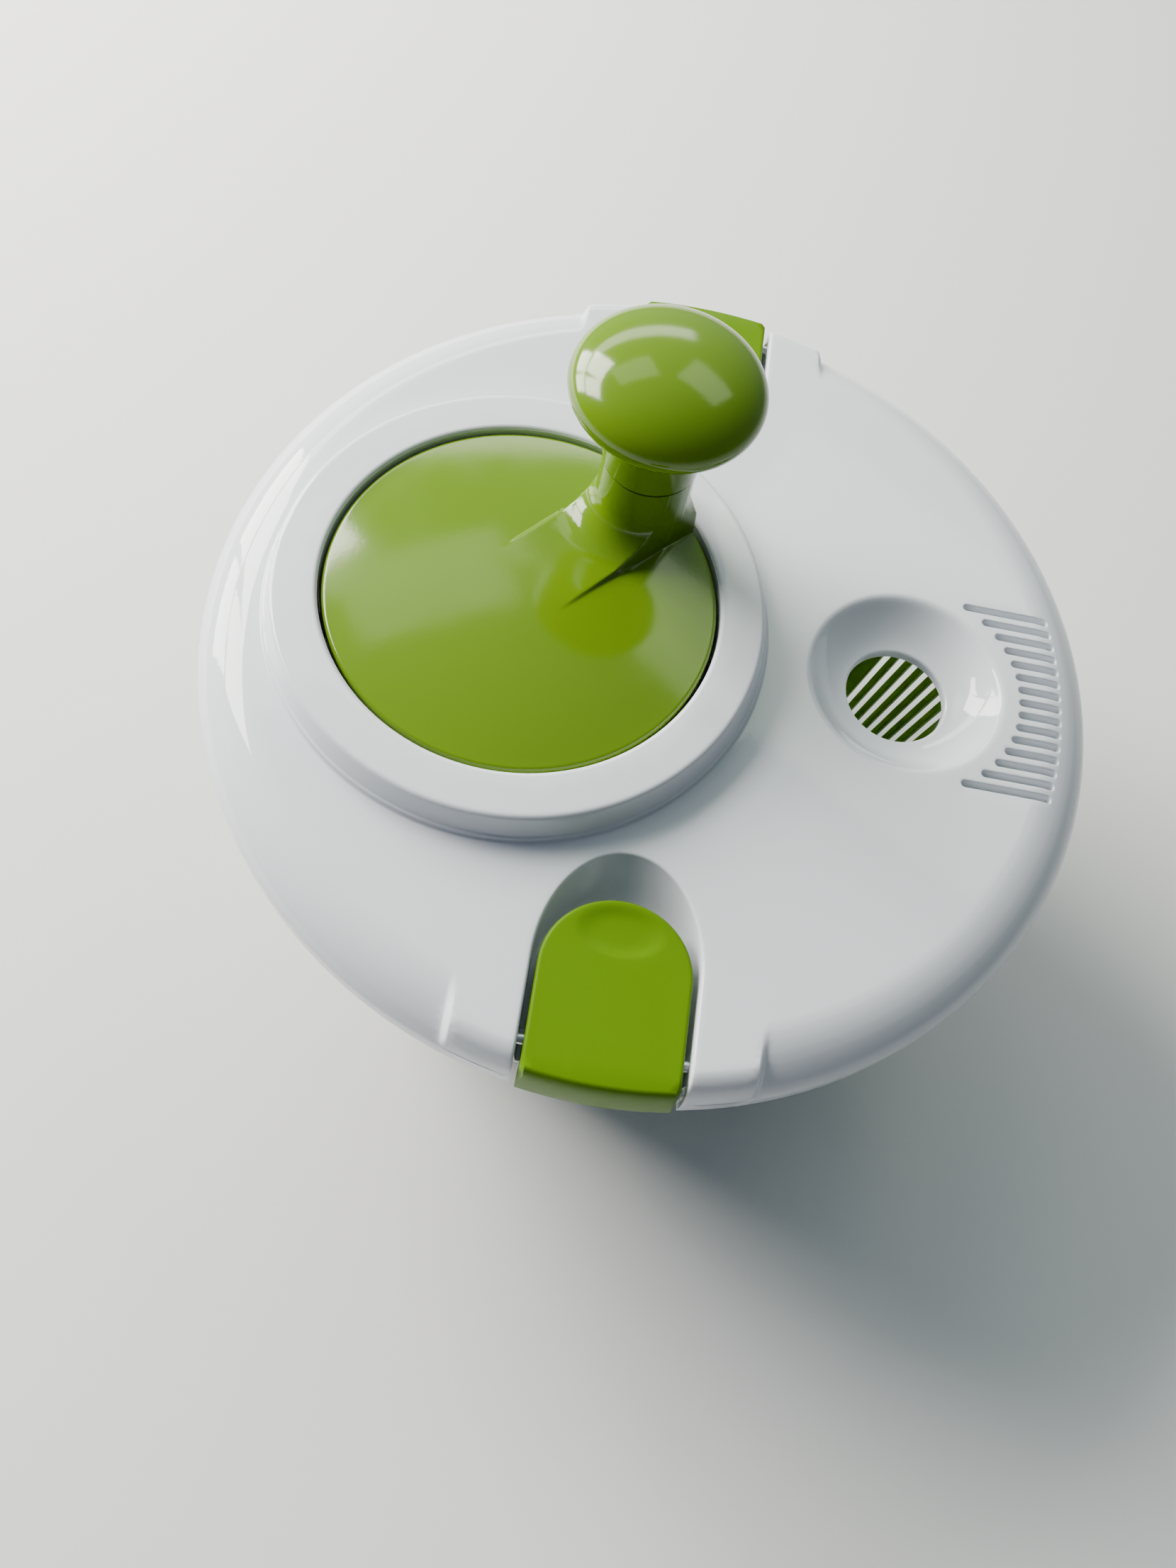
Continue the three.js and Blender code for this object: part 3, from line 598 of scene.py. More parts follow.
def crank_top(x, y):
    """The crank's outer sheet: dome, arm, and a stub that the arm sweeps up to."""
    along, across = turned_axes(x, y, ARM_DEGREES)
    r = np.hypot(along, across)
    level = ARM_LOW + ARM_RISE * along
    flank = 1 - smoothstep(ARM_HALF - 0.75, ARM_HALF + 0.55, np.abs(across))
    raised = np.maximum(level - disc_dome(r), 0) * flank * smoothstep(1, 9, along)
    sigma = np.hypot(along - STUB_REACH, across)
    fillet = np.clip(sigma - STUB_R, 0, SWEEP_R)
    sweep = SWEEP_R - np.sqrt(SWEEP_R ** 2 - (SWEEP_R - fillet) ** 2)
    z = disc_dome(r) + raised + sweep * flank
    z = z - edge_round(DISC_R - r, 1.1)
    stub = STUB_TOP - edge_round(STUB_R + 0.3 - sigma, 0.5)
    z = np.where(sigma <= STUB_R + 0.01, stub, z)
    return x + CRANK_X, y, LID_TOP + z


def crank_under(x, y):
    """The crank's inner sheet: the dome's underside and a skirt at the edge."""
    r = np.hypot(x, y)
    z = np.where(r > DISC_R - DISC_SKIRT, DISC_SKIRT_LOW, disc_dome(r) - DISC_WALL)
    return x + CRANK_X, y, LID_TOP + z


def crank_disc():
    """Disc, arm and stub in one moulding."""
    arm = (KNOB_X - CRANK_X) / STUB_REACH, KNOB_Y / STUB_REACH

    def placed(s, t):
        return s * arm[0] - t * arm[1], s * arm[1] + t * arm[0]

    loops = [arc_points(r, pitch=2.4) for r in DISC_RINGS]
    for side in (1, -1):
        for d in FLANK_LINES:
            t = side * (ARM_HALF + d)
            loops.append(line_points(placed(2, t), placed(math.sqrt(DISC_R ** 2 - t ** 2), t), 2))
    loops += [arc_points(STUB_R + d, *placed(STUB_REACH, 0), pitch=1.4) for d in STUB_RINGS]
    triangles = plan(loops, lambda x, y: np.hypot(x, y) < DISC_R, 3.5, (-56, -56), (56, 56))
    shell = shell_data(triangles, crank_top, crank_under)
    piece("crank", [shell], GREEN, "crank", "crank_disc")


def knob():
    """A flattened ball on a flared neck."""
    ball_r, ball_half, neck_r = 25.4, 10.8, 13.3
    centre, neck_low, neck_high = LID_TOP + 62.6, LID_TOP + 36.3, LID_TOP + 51
    angles = np.linspace(math.radians(-52), math.pi / 2, 40)
    ball = [(ball_r * math.cos(a), centre + ball_half * math.sin(a)) for a in angles]
    neck = rounded([(4, neck_low, 0), (neck_r, neck_low, 0.5), (neck_r, neck_high, 6), ball[0] + (0,)], 8)
    grip = turned_data([*neck[:-1], *ball], 96, KNOB_X, KNOB_Y)
    piece("knob_grip", [grip], GREEN, "knob", "knob")


# ---- latches, made on the +Y side ----
LATCH_HALF = 20
LATCH_ROUND_Y = 100
LATCH_DEPTH_Y = 19.3
LATCH_OUTER_R = 130.8
LATCH_TOP_DROP = 1
LATCH_UNDER_DROP = 4
LATCH_DROP = 16
LIP_INNER_R = 128.1
HOOK_INNER_R = 123.6
HOOK_HALF = 18.8
HOOK_TOP_DROP = 14.5
BOSS_R = 3.4
BOSS_LINES = (-3.38, -3, -2, 0, 2, 3, 3.38)
DIMPLE_Y = 89.3
DIMPLE_HALF_X = 11.8
DIMPLE_HALF_Y = 6.9
DIMPLE_DEPTH = 0.7
# the lip's bend: at each radius, how far the top has fallen
LIP_STEPS = [128, 128.5, 128.95, 129.35, 129.7, 130, 130.25, 130.45, 130.6, 130.7, 130.76, LATCH_OUTER_R]
LIP_FALLS = [0, 0.12, 0.5, 1.15, 2.1, 3.4, 5, 6.8, 8.6, 10.3, 11.8, 13]


def latch_edge(x, y):
    """Distance inside the latch's sides and its round inner end."""
    ahead = np.maximum(LATCH_ROUND_Y - y, 0)
    q = np.hypot(x / LATCH_HALF, ahead / LATCH_DEPTH_Y) + 1e-9
    return np.where(ahead > 0, (1 - q) * np.hypot(x, ahead) / q, LATCH_HALF - np.abs(x))


def latch_top(x, y):
    """The latch's outer sheet: level, with a thumb dimple, then bent down into the lip."""
    r = np.hypot(x, y)
    z = -LATCH_TOP_DROP - np.interp(r, LIP_STEPS, LIP_FALLS) - edge_round(latch_edge(x, y), 1.0)
    bowl = 1 - (x / DIMPLE_HALF_X) ** 2 - ((y - DIMPLE_Y) / DIMPLE_HALF_Y) ** 2
    return x, y, LID_TOP + z - DIMPLE_DEPTH * smoothstep(-0.08, 0.75, bowl)


def latch_under(x, y):
    """The latch's inner sheet, with a round boss along its hinge pin."""
    r = np.hypot(x, y)
    chord = np.sqrt(np.maximum(BOSS_R ** 2 - (y - PIN_Y) ** 2, 0))
    boss = np.minimum(-LATCH_UNDER_DROP, PIN_Z - LID_TOP - chord)
    z = np.where(np.abs(y - PIN_Y) < BOSS_R, boss, -LATCH_UNDER_DROP)
    return x, y, LID_TOP + np.where(r > LIP_INNER_R, -LATCH_DROP, z)


def latch_arc(radius, half):
    """An arc about the lid's axis, as wide as the latch."""
    span = math.degrees(math.asin(half / radius))
    return arc_points(radius, 0, 0, 90 - span, 90 + span, 2.5)


def latch_outline(inset):
    """The latch's sides and inner end, moved inwards."""
    return arch(LATCH_HALF - inset, LATCH_DEPTH_Y - inset, LATCH_ROUND_Y, 129.2, 41)


def latch_inside(x, y):
    return (np.hypot(x, y) < LATCH_OUTER_R) & (latch_edge(x, y) > 0)


def latch(name, turn):
    """A press latch: a thumb plate with a lip, and a hook behind the lip that catches the bowl's rim."""
    rim = latch_outline(0)[1:-1]
    outer = latch_arc(LATCH_OUTER_R, LATCH_HALF)[0]
    loops = [(np.vstack([rim, outer[::-1]]), True)]
    loops += [(latch_outline(inset)[2:-2], False) for inset in (0.08, 0.25, 0.5, 0.75, 1.0, 1.6)]
    lip_rings = (*LIP_STEPS[:-1], LIP_INNER_R - STEP, LIP_INNER_R + STEP)
    loops += [latch_arc(r, LATCH_HALF - 1.2) for r in lip_rings]
    loops += [line_points((-19, y), (19, y)) for y in PIN_Y + np.array(BOSS_LINES)]
    angles = np.linspace(0, 2 * math.pi, 40, endpoint=False)
    for scale in (0.4, 0.6, 0.75, 0.88, 0.98, 1.06):
        ring_x = DIMPLE_HALF_X * scale * np.cos(angles)
        ring_y = DIMPLE_Y + DIMPLE_HALF_Y * scale * np.sin(angles)
        loops.append((np.column_stack([ring_x, ring_y]), True))
    body = shell_data(plan(loops, latch_inside, 3.2, (-20, 80), (20, 131)), latch_top, latch_under)

    inner = latch_arc(HOOK_INNER_R, HOOK_HALF)[0]
    outer = latch_arc(LIP_INNER_R + 0.6, HOOK_HALF)[0]
    hook_loop = (np.vstack([inner, outer[::-1]]), True)
    hook_plan = plan([hook_loop], lambda x, y: y > 0, 3.2, (-HOOK_HALF, 121), (HOOK_HALF, 129))
    hook = shell_data(hook_plan, flat_sheet(LID_TOP - HOOK_TOP_DROP), flat_sheet(LID_TOP - LATCH_DROP))
    parts = [(spun(verts, turn), faces) for verts, faces in (body, hook)]
    piece(f"{name}_paddle", parts, SATIN, f"{name}_latch", f"{name}_latch")


def latch_pin(name, side):
    """A turned rod with softened ends, laid along X."""
    radius, end, soft = 1.5, 26, 0.3
    profile = [
        (0, -end), (radius - soft, -end), (radius, soft - end),
        (radius, end - soft), (radius - soft, end), (0, end)]
    verts, faces = turned_data(profile, 24)
    rod = np.column_stack([verts[:, 2], verts[:, 0] + PIN_Y * side, verts[:, 1] + PIN_Z]), faces
    piece(f"{name}_hinge_pin", [rod], STEEL, "lid", f"{name}_latch_pin")


SPRING_Y = 104
SPRING_LOW = 124.5
SPRING_HIGH = 132.95
SPRING_R = 2.7
SPRING_TURNS = 4
WIRE_R = 0.5
WIRE_SIDES = 10


def latch_spring(name, side):
    """A compression spring with closer end turns, as a tube swept along its coil."""
    steps = SPRING_TURNS * 26
    verts = []
    for i in range(steps + 1):
        t = i / steps
        a = 2 * math.pi * SPRING_TURNS * t
        z = SPRING_LOW + (SPRING_HIGH - SPRING_LOW) * (smoothstep(0.0, 1.0, t) * 0.35 + t * 0.65)
        for k in range(WIRE_SIDES):
            b = 2 * math.pi * k / WIRE_SIDES
            reach = SPRING_R + WIRE_R * math.cos(b)
            y = SPRING_Y * side + reach * math.sin(a)
            verts.append((reach * math.cos(a), y, z + WIRE_R * math.sin(b)))
    faces = [tuple(range(WIRE_SIDES)), tuple(range(len(verts) - WIRE_SIDES, len(verts)))]
    for i in range(steps):
        here, ahead = i * WIRE_SIDES, (i + 1) * WIRE_SIDES
        for k in range(WIRE_SIDES):
            n = (k + 1) % WIRE_SIDES
            faces.append((here + k, here + n, ahead + n, ahead + k))
    coil = piece(f"{name}_coil", [(np.array(verts), faces)], STEEL, "lid", f"{name}_latch_spring")
    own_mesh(coil)


# ---- bowl and its post's bush; heights from here on are above the worktop ----
def bowl():
    """A flared clear bowl with a ring foot, a rim flange and a centre post."""
    angles = np.radians(np.linspace(-80, 0, 12))
    bend = [(86 + 11 * math.cos(a), 11 + 11 * math.sin(a), 0) for a in angles]
    profile = rounded([
        (0, 1.4, 0), (61.5, 1.4, 2), (65, 0, 1.2), (86, 0, 0), *bend, (119.6, 121, 4), (121, 124, 1.2),
        (125.6, 124.8, 0.6), (125.6, 127, 0.7), (117.2, 127, 0.9), (94.6, 13.6, 9.5), (86, 3.4, 6),
        (6, 3.4, 1), (6, 14, 1.2), (0, 14, 0)])
    piece("bowl_wall", [turned_data(profile, 160)], CLEAR, "bowl", "bowl")


def pivot_bush():
    """A cap that turns on the bowl's post and carries the basket."""
    profile = rounded([
        (6.3, 4.2, 0), (13, 4.2, 0.4), (13, 6, 0.5), (9, 6.6, 0.6), (9, 17, 0.8), (0, 17, 0), (0, 14.3, 0),
        (6.3, 14.3, 0), (6.3, 4.2, 0)])
    piece("post_bush", [turned_data(profile, 48)], NATURAL, "pivot_bush", "pivot_bush")


# ---- basket ----
BASKET_PANELS = 8
PANEL_SPAN = 360 / BASKET_PANELS
PANEL_CENTRE = 19.6
FIRST_SEAM = PANEL_CENTRE - PANEL_SPAN / 2
BASKET_STEPS = 15
WALL_LOW = 24
WALL_HIGH = 109
WALL_HALF_THICK = 0.9
WALL_SCALE = 1.7
WALL_SLOT_CENTRES = [k * 3.1 * WALL_SCALE for k in range(-3, 4)]
WALL_SLOT_LOW = 31.3
WALL_SLOT_HIGH = 100.7
WALL_SLOT_HALF = 1.3
BASKET_EDGE = 0.4
FLOOR_R = 79
FLOOR_LOW = 10.8
FLOOR_TOP = 12.8
FLOOR_SLOTS = 18
FLOOR_SLOT_STEP = 360 / FLOOR_SLOTS
FLOOR_SLOT_IN = 25.4
FLOOR_SLOT_OUT = 72.6
FLOOR_SLOT_HALF = 1.4
HUB_R = 11.3
HUB_TOP = 19.4
LUG_IN = 106
LUG_OUT = 111.6
LUG_HALF = 2


def basket_outer(z):
    """The flared wall's outer radius at a height."""
    return 90 + 15 * (z - 19.8) / 93.7


def wall_opening(x, z):
    """Distance outside the nearest wall slot, in a panel's flat plan."""
    ends = WALL_SLOT_LOW, WALL_SLOT_HIGH
    return nearest_of(x, [slot_edges(z, x - centre, *ends, WALL_SLOT_HALF) for centre in WALL_SLOT_CENTRES])


def wall_sheet(side):
    """The wall's outer (1) or inner (-1) sheet: a flat plan's point wrapped onto it."""
    def place(x, z):
        angle = np.radians(PANEL_CENTRE + x / WALL_SCALE)
        thick = WALL_HALF_THICK - edge_round(wall_opening(x, z), BASKET_EDGE)
        r = basket_outer(z) - WALL_HALF_THICK + side * thick
        return r * np.cos(angle), r * np.sin(angle), z
    return place


def basket_wall():
    """Slotted panels all round; a panel's plan is laid flat, scaled degrees round the wall by height."""
    half = PANEL_SPAN / 2 * WALL_SCALE
    columns = np.linspace(-half, half, BASKET_STEPS + 1)
    rows = np.linspace(WALL_LOW, WALL_HIGH, 15)
    outline = [
        *[(x, WALL_LOW) for x in columns], *[(half, z) for z in rows[1:-1]],
        *[(x, WALL_HIGH) for x in columns[::-1]], *[(-half, z) for z in rows[-2:0:-1]]]
    loops = [(np.array(outline), True)]
    for centre in WALL_SLOT_CENTRES:
        for grow in (0, BASKET_EDGE):
            wide = WALL_SLOT_HALF + grow
            top = arc_points(wide, centre, WALL_SLOT_HIGH, 0, 180, 0.7)[0]
            low = arc_points(wide, centre, WALL_SLOT_LOW, 180, 360, 0.7)[0]
            heights = np.linspace(WALL_SLOT_LOW, WALL_SLOT_HIGH, 8)[1:-1]
            left = [(centre - wide, z) for z in heights[::-1]]
            right = [(centre + wide, z) for z in heights]
            loops.append((np.vstack([top, left, low, right]), True))
    triangles = plan(loops, lambda x, z: wall_opening(x, z) > 0, 7, (-half, WALL_LOW), (half, WALL_HIGH))

    def on_edge(x, z):
        return (np.abs(np.abs(x) - half) < 1e-3) | (z < WALL_LOW + 1e-3) | (z > WALL_HIGH - 1e-3)

    verts, faces = shell_data(triangles, wall_sheet(1), wall_sheet(-1), on_edge)
    return [(spun(verts, PANEL_SPAN * k), faces) for k in range(BASKET_PANELS)]


def floor_opening(x, y):
    """Distance outside the nearest of the floor's radial slots."""
    ends = FLOOR_SLOT_IN, FLOOR_SLOT_OUT
    places = [turned_axes(x, y, FLOOR_SLOT_STEP * k) for k in range(FLOOR_SLOTS)]
    return nearest_of(x, [slot_edges(*place, *ends, FLOOR_SLOT_HALF) for place in places])


def floor_top(x, y):
    r = np.hypot(x, y)
    hub = HUB_TOP - edge_round(HUB_R - r, 0.8)
    return x, y, np.where(r < HUB_R + 0.01, hub, FLOOR_TOP) - edge_round(floor_opening(x, y), BASKET_EDGE)


def floor_under(x, y):
    r = np.hypot(x, y)
    z = np.where(r < 9.3, 17.4, np.where(r < 11.5, 7.2, FLOOR_LOW))
    return x, y, z + edge_round(floor_opening(x, y), BASKET_EDGE)


def basket_floor():
    """The slotted floor with a hub that drops over the bush."""
    rim_pitch = 2 * math.pi * FLOOR_R / (BASKET_PANELS * BASKET_STEPS)
    loops = [(arc_points(FLOOR_R, 0, 0, FIRST_SEAM, FIRST_SEAM + 360, rim_pitch)[0], True)]
    loops += [arc_points(r, pitch=1.6) for r in (9.25, 9.35, 10.5, 10.8, 11.05, 11.2, HUB_R, 11.45, 11.55)]
    for k in range(FLOOR_SLOTS):
        for grow in (0, BASKET_EDGE):
            out = arc_points(FLOOR_SLOT_HALF + grow, FLOOR_SLOT_OUT, 0, -90, 90, 0.8)[0]
            back = arc_points(FLOOR_SLOT_HALF + grow, FLOOR_SLOT_IN, 0, 90, 270, 0.8)[0]
            loops.append((spun_flat(np.vstack([out, back]), FLOOR_SLOT_STEP * k), True))

    def inside(x, y):
        return (np.hypot(x, y) < FLOOR_R) & (floor_opening(x, y) > 0)

    triangles = plan(loops, inside, 7, (-FLOOR_R, -FLOOR_R), (FLOOR_R, FLOOR_R))
    return shell_data(triangles, floor_top, floor_under, lambda x, y: np.hypot(x, y) > FLOOR_R - 0.01)


def lug_top(x, y):
    """A driving lug's rounded top, on the basket's rim."""
    edge = np.minimum(LUG_HALF - np.abs(y), np.minimum(x - LUG_IN, LUG_OUT - x))
    return x, y, 120 - edge_round(edge, 0.6)


def basket():
    """The turned strips above and below the slotted wall, the wall, the floor and the lugs."""
    thick = 2 * WALL_HALF_THICK
    bend_out = [(81 + 9 * math.cos(a), 19.8 + 9 * math.sin(a)) for a in np.radians(np.linspace(-88, 0, 10))]
    bend_in = [(81 + 7.2 * math.cos(a), 19.8 + 7 * math.sin(a)) for a in np.radians(np.linspace(-88, 0, 9))]
    low_out = [(FLOOR_R, FLOOR_LOW), *bend_out, (basket_outer(WALL_LOW), WALL_LOW)]
    low_in = [(FLOOR_R, FLOOR_TOP), *bend_in, (basket_outer(WALL_LOW) - thick, WALL_LOW)]
    rim = rounded([
        (basket_outer(WALL_HIGH), WALL_HIGH, 0), (105.2, 115, 2), (112.5, 115, 0.6), (112.5, 117, 0.7),
        (103.4, 117, 1.2), (basket_outer(WALL_HIGH) - thick, WALL_HIGH, 0)], 4)
    turn = BASKET_PANELS * BASKET_STEPS, 0, 0, FIRST_SEAM, FIRST_SEAM + 360
    parts = [turned_data(strip, *turn) for strip in (low_out, low_in, rim)]
    parts += [*basket_wall(), basket_floor()]
    lug_loop = rectangle(LUG_IN, LUG_OUT, -LUG_HALF, LUG_HALF)
    lug_plan = plan([lug_loop], lambda x, y: x > 0, 2, (LUG_IN, -LUG_HALF), (LUG_OUT, LUG_HALF))
    lug_verts, lug_faces = shell_data(lug_plan, lug_top, flat_sheet(116.6))
    parts += [(spun(lug_verts, FLOOR_SLOT_STEP * k), lug_faces) for k in range(FLOOR_SLOTS)]
    piece("slotted_basket", parts, BASKET_GREEN, "basket", "basket", merge=0.02)


# ---- the lid's underside: gear cover, drive spider and their screws ----
COVER_SCREW_R = 62.2
COVER_SCREW_DEGREES = (45, 135, 225, 315)
RING_SCREW_R = 46.9
RING_SCREW_DEGREES = (108.5, 228.5, 348.5)
COVER_LOW = 125
COVER_TOP = 127.5
POST_R = 7
POST_TOP = 139.5
ARM_TURNS = (50, 170, 290)
ARM_WIDTH_HALF = 5
ARM_END = 108
FOOT_IN = 104.8
FOOT_OUT = 110.6
FOOT_HALF = 15
SPIDER_HUB_R = 11
SPIDER_BORE_R = 4.3
RIB_HALF = 1.2
RIB_END = 100


def from_crank(radius, degrees):
    """A point about the crank's axis."""
    x, y = polar(radius, degrees)
    return CRANK_X + x, y


def gear_cover():
    """A round plate under the gears, with a post for the crank and holes for shaft and screws."""
    spots = [from_crank(COVER_SCREW_R, degrees) for degrees in COVER_SCREW_DEGREES]
    holes = [(0, 0, 6.3), (CRANK_X, 0, 2.5), *[(x, y, 1.6) for x, y in spots]]

    def edge(x, y):
        """Distance inside the cover's rim and outside its holes."""
        best = COVER_R - np.hypot(x - CRANK_X, y)
        for hx, hy, radius in holes:
            best = np.minimum(best, np.hypot(x - hx, y - hy) - radius)
        return best

    def top(x, y):
        return x, y, np.where(np.hypot(x - CRANK_X, y) < POST_R, POST_TOP, COVER_TOP)

    def under(x, y):
        return x, y, COVER_LOW + edge_round(edge(x, y), 0.8)

    loops = []
    for d in (0, 0.15, 0.4, 0.8):
        loops.append(arc_points(COVER_R - d, CRANK_X))
        loops += [arc_points(radius + d, hx, hy, pitch=0.9) for hx, hy, radius in holes]
    loops += [arc_points(POST_R + d, CRANK_X, pitch=1.5) for d in (-STEP, STEP)]
    shell = shell_data(plan(loops, lambda x, y: edge(x, y) > 0, 5, (-111, -69), (28, 69)), top, under)
    piece("gear_housing_cover", [shell], WHITE, "lid", "gear_cover")


def spider_edge(x, y):
    """Distance inside the spider's hub, arms and feet."""
    best = SPIDER_HUB_R - np.hypot(x, y)
    for degrees in ARM_TURNS:
        s, t = turned_axes(x, y, degrees)
        t = np.abs(t)
        best = np.maximum(best, np.minimum(np.minimum(ARM_WIDTH_HALF - t, ARM_END - s), s - 5))
        best = np.maximum(best, np.minimum(np.minimum(FOOT_HALF - t, FOOT_OUT - s), s - FOOT_IN))
    return best


def spider_rib(x, y):
    """Distance from the nearest arm's middle line, along which a rib runs."""
    best = np.full_like(x, 9.0)
    for degrees in ARM_TURNS:
        s, t = turned_axes(x, y, degrees)
        best = np.minimum(best, np.where((s > 0) & (s < RIB_END), np.abs(t), 9))
    return best


def spider_top(x, y):
    hub = np.hypot(x, y) < SPIDER_HUB_R
    return x, y, np.where(hub, 122.6, 121) - edge_round(spider_edge(x, y), 0.7)


def spider_under(x, y):
    r = np.hypot(x, y)
    soft = edge_round(spider_edge(x, y), 0.5)
    z = np.where(spider_rib(x, y) < RIB_HALF, 116.4, np.where(r > FOOT_IN, 117.6, 118.2) + soft)
    return x, y, np.where(r < SPIDER_HUB_R, 116 + edge_round(SPIDER_HUB_R - r, 0.7), z)


def drive_spider():
    """Three arms from a hub, each with a wide foot that pushes the basket's lugs."""
    loops = [arc_points(r, pitch=1.5) for r in (4.25, 4.35, 10.2, 10.6, 10.95, 11.05)]
    for degrees in ARM_TURNS:
        lines = []
        for t in (-5, -4.8, -4.4, -1.25, -1.15, 1.15, 1.25, 4.4, 4.8, 5):
            lines.append(line_points((8, t), (104.4, t), 4)[0])
        for inset in (0, 0.25, 0.7):
            box = rectangle(FOOT_IN + inset, FOOT_OUT - inset, inset - FOOT_HALF, FOOT_HALF - inset, 2.5)[0]
            lines.append(np.vstack([box, box[:1]]))
        lines.append(line_points((RIB_END, -RIB_HALF), (RIB_END, RIB_HALF), 1)[0])
        loops += [(spun_flat(points, degrees), False) for points in lines]

    def inside(x, y):
        return (spider_edge(x, y) > 0) & (np.hypot(x, y) >= SPIDER_BORE_R)

    shell = shell_data(plan(loops, inside, 4, (-112, -112), (112, 112)), spider_top, spider_under)
    piece("spider", [shell], WHITE, "drive", "drive_spider", merge=0.005)


def screw(node, body, x, y, seat, shank, length, head, thickness):
    """Pan-head screw pointing up, with a cross recess in its head below and ridges for a thread."""
    arm, half, depth = head * 0.55, head * 0.13, thickness * 0.55

    def cross(px, py):
        return (np.minimum(np.abs(px), np.abs(py)) < half) & (np.maximum(np.abs(px), np.abs(py)) < arm)

    def face(px, py):
        r = np.hypot(px, py) / head
        crown = thickness * (0.45 + 0.55 * np.sqrt(np.clip(1 - r ** 3, 0, 1)))
        return px + x, py + y, seat - crown + depth * cross(px * 1.008, py * 1.008)

    def back(px, py):
        return px + x, py + y, seat + 0 * px

    corners = np.array([(arm, -half), (arm, half), (half, half)])
    recess = np.vstack([spun_flat(corners, 90 * quarter) for quarter in range(4)])
    loops = [(recess, True), (recess * 0.985, True)]
    loops += [arc_points(head * k, pitch=head * 0.25) for k in (0.72, 0.85, 0.94, 0.985, 1)]
    triangles = plan(loops, lambda px, py: np.hypot(px, py) < head, head * 0.4, (-head, -head), (head, head))
    root, pitch = shank * 0.8, shank * 0.9
    thread = [(0, seat - 0.2), (root, seat - 0.2)]
    for k in range(int((length - 1.5) / pitch)):
        z = seat + 0.3 + k * pitch
        thread += [(root, z), (shank, z + pitch * 0.4), (root, z + pitch * 0.8)]
    thread += [(shank * 0.75, seat + length - 1), (shank * 0.3, seat + length), (0, seat + length)]
    parts = [shell_data(triangles, back, face), turned_data(thread, 20, x, y)]
    piece(f"{node}_fine", parts, STEEL, body, node, merge=0.003)


def screws():
    """The cover's four screws, the ring gear's three, and one each for the drive and the crank."""
    for k, degrees in enumerate(COVER_SCREW_DEGREES):
        screw(f"cover_screw_{k + 1}", "lid", *from_crank(COVER_SCREW_R, degrees), 124.7, 1.25, 9, 2.7, 1.7)
    for k, degrees in enumerate(RING_SCREW_DEGREES):
        screw(f"ring_screw_{k + 1}", "crank", *from_crank(RING_SCREW_R, degrees), 138.5, 1.2, 6, 2.4, 1.4)
    screw("drive_screw", "drive", 0, 0, 115.7, 1, 8, 6, 2)
    screw("crank_screw", "crank", CRANK_X, 0, 123.5, 1.6, 20, 4, 2)


def turned_pieces():
    """Washer, shaft bush and knob spindle."""
    washer = rounded([
        (2.5, 123.8, 0), (6.5, 123.8, 0.25), (6.5, 124.7, 0.25), (2.5, 124.7, 0), (2.5, 123.8, 0)], 3)
    piece("thrust_washer", [turned_data(washer, 48, CRANK_X)], STEEL, "crank", "crank_washer")
    bush = rounded([
        (4.3, 123.2, 0), (8, 123.2, 0.4), (8, 124.7, 0.3), (6, 124.7, 0), (6, 128.9, 0.4), (4.3, 128.9, 0),
        (4.3, 123.2, 0)], 3)
    piece("shaft_bush", [turned_data(bush, 40)], NATURAL, "lid", "pinion_bush")
    post = [
        (0, 141.6), (5, 141.6), (5.2, 141.8), (5.2, 143.7), (3, 143.7), (3, 199.2), (2.4, 200.2), (0, 200.6)]
    piece("knob_post", [turned_data(post, 40, KNOB_X, KNOB_Y)], STEEL, "crank", "knob_spindle")


def gears():
    """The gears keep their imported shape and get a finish: they turn inside a closed housing."""
    for node in ("ring_gear", "pinion"):
        for slot in frame["nodes"][node].material_slots:
            slot.material = NATURAL


lid()
crank_disc()
knob()
for side_name, side_sign, side_turn in (("rear", 1, 0), ("front", -1, 180)):
    latch(side_name, side_turn)
    latch_pin(side_name, side_sign)
    latch_spring(side_name, side_sign)
bowl()
pivot_bush()
basket()
gear_cover()
drive_spider()
screws()
turned_pieces()
gears()


# ---- studio ----
DARK_SIDE = (0.18, 0.182, 0.19, 1)
ROOM_SIDE = (0.31, 0.37, 0.47, 1)
SKY_SIDE = (0.9, 1.05, 1.25, 1)
LIT_PLACE = (0, 0, 0.14)
SKY_TINT = (0.84, 1, 0.66)


def air():
    """A soft world, bright behind and to the left, dark in front."""
    world = bpy.data.worlds.new("studio_air")
    bpy.context.scene.world = world
    world.use_nodes = True
    nodes, links = world.node_tree.nodes, world.node_tree.links
    background = nodes["Background"]
    background.inputs["Strength"].default_value = 0.5
    heading = nodes.new("ShaderNodeTexCoord")
    facing = nodes.new("ShaderNodeVectorMath")
    facing.operation = "DOT_PRODUCT"
    facing.inputs[1].default_value = Vector((-0.4, 0.85, 0.35)).normalized()
    links.new(heading.outputs["Generated"], facing.inputs[0])
    spread = nodes.new("ShaderNodeMapRange")
    spread.inputs["From Min"].default_value = -1
    links.new(facing.outputs["Value"], spread.inputs["Value"])
    sky = nodes.new("ShaderNodeValToRGB")
    stops = sky.color_ramp.elements
    stops[0].position, stops[0].color = 0.1, DARK_SIDE
    stops[1].position, stops[1].color = 0.95, SKY_SIDE
    stops.new(0.66).color = ROOM_SIDE
    links.new(spread.outputs["Result"], sky.inputs["Fac"])
    links.new(sky.outputs["Color"], background.inputs["Color"])


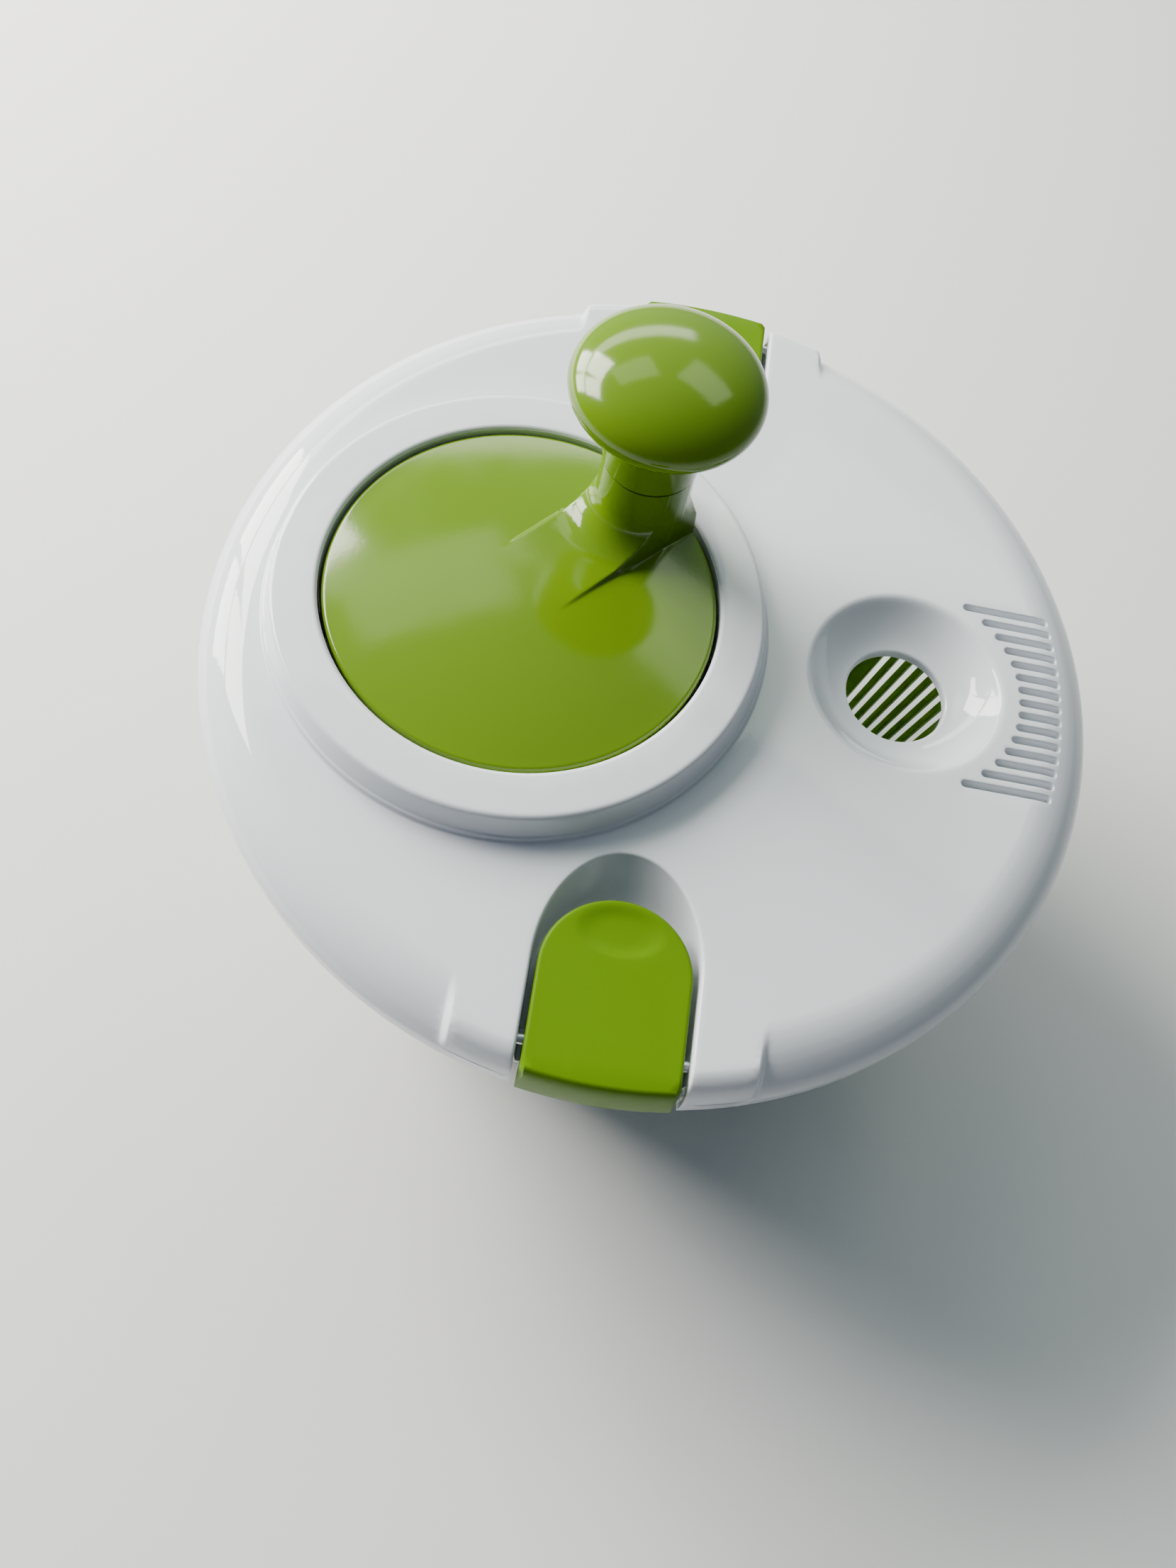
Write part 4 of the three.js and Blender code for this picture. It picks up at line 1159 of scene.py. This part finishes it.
def softbox(name, place, target, width, height, radiance, colour):
    """A rectangular area light of a given radiance that faces a target."""
    light = bpy.data.lights.new(name, "AREA")
    light.shape = "RECTANGLE"
    light.size, light.size_y = width, height
    light.energy = radiance * math.pi * width * height
    light.color = colour
    lamp = bpy.data.objects.new(name, light)
    bpy.context.scene.collection.objects.link(lamp)
    lamp.location = place
    lamp.rotation_euler = (Vector(target) - Vector(place)).to_track_quat("-Z", "Y").to_euler()


def studio():
    """A pale floor, a window of four panes on the left, two skylights above and a low window behind."""
    air()
    bpy.ops.mesh.primitive_plane_add(size=14, location=(0, 0, 0))
    floor = bpy.context.object
    floor.name = "floor"
    ground = plastic("pale_floor", (0.84, 0.84, 0.84), 0.75, speck=0.0, grain=0.0, shine=0.1)
    floor.data.materials.append(ground)

    window = Vector((-1.12, 0.66, 0.78))
    across = Vector((0, 0, 1)).cross(window).normalized()
    up = window.cross(across).normalized()
    for column in (-1, 1):
        for row in (-1, 1):
            place = window + across * column * 0.23 + up * row * 0.27
            softbox(f"window_pane_{column}_{row}", place, place * 0.01, 0.42, 0.5, 28, (1, 0.97, 0.89))
    softbox("skylight_left", (-0.43, 0.81, 1.45), LIT_PLACE, 0.62, 0.36, 2.7, SKY_TINT)
    softbox("skylight_right", (0.5, 0.84, 1.42), LIT_PLACE, 0.7, 0.44, 2.7, SKY_TINT)
    softbox("window_back", (-0.4, 1.3, 0.93), LIT_PLACE, 1.3, 0.24, 7, (1, 0.98, 0.86))


def camera():
    """A phone-like lens, high in front of the spinner and a little to its left."""
    data = bpy.data.cameras.new("camera")
    data.sensor_width = 36
    data.lens = 27.46
    data.clip_start = 0.01
    view = bpy.data.objects.new("camera", data)
    bpy.context.scene.collection.objects.link(view)
    right = Vector((0.9826, 0.1429, 0.1185)).normalized()
    back = Vector((-0.0481, -0.4204, 0.9061)).normalized()
    up = back.cross(right).normalized()
    place = Vector((-29.78, -184.86, 289.69 + LID_TOP)) * MM
    view.matrix_world = Matrix.Translation(place) @ Matrix((right, up, back)).transposed().to_4x4()
    bpy.context.scene.camera = view


studio()
camera()
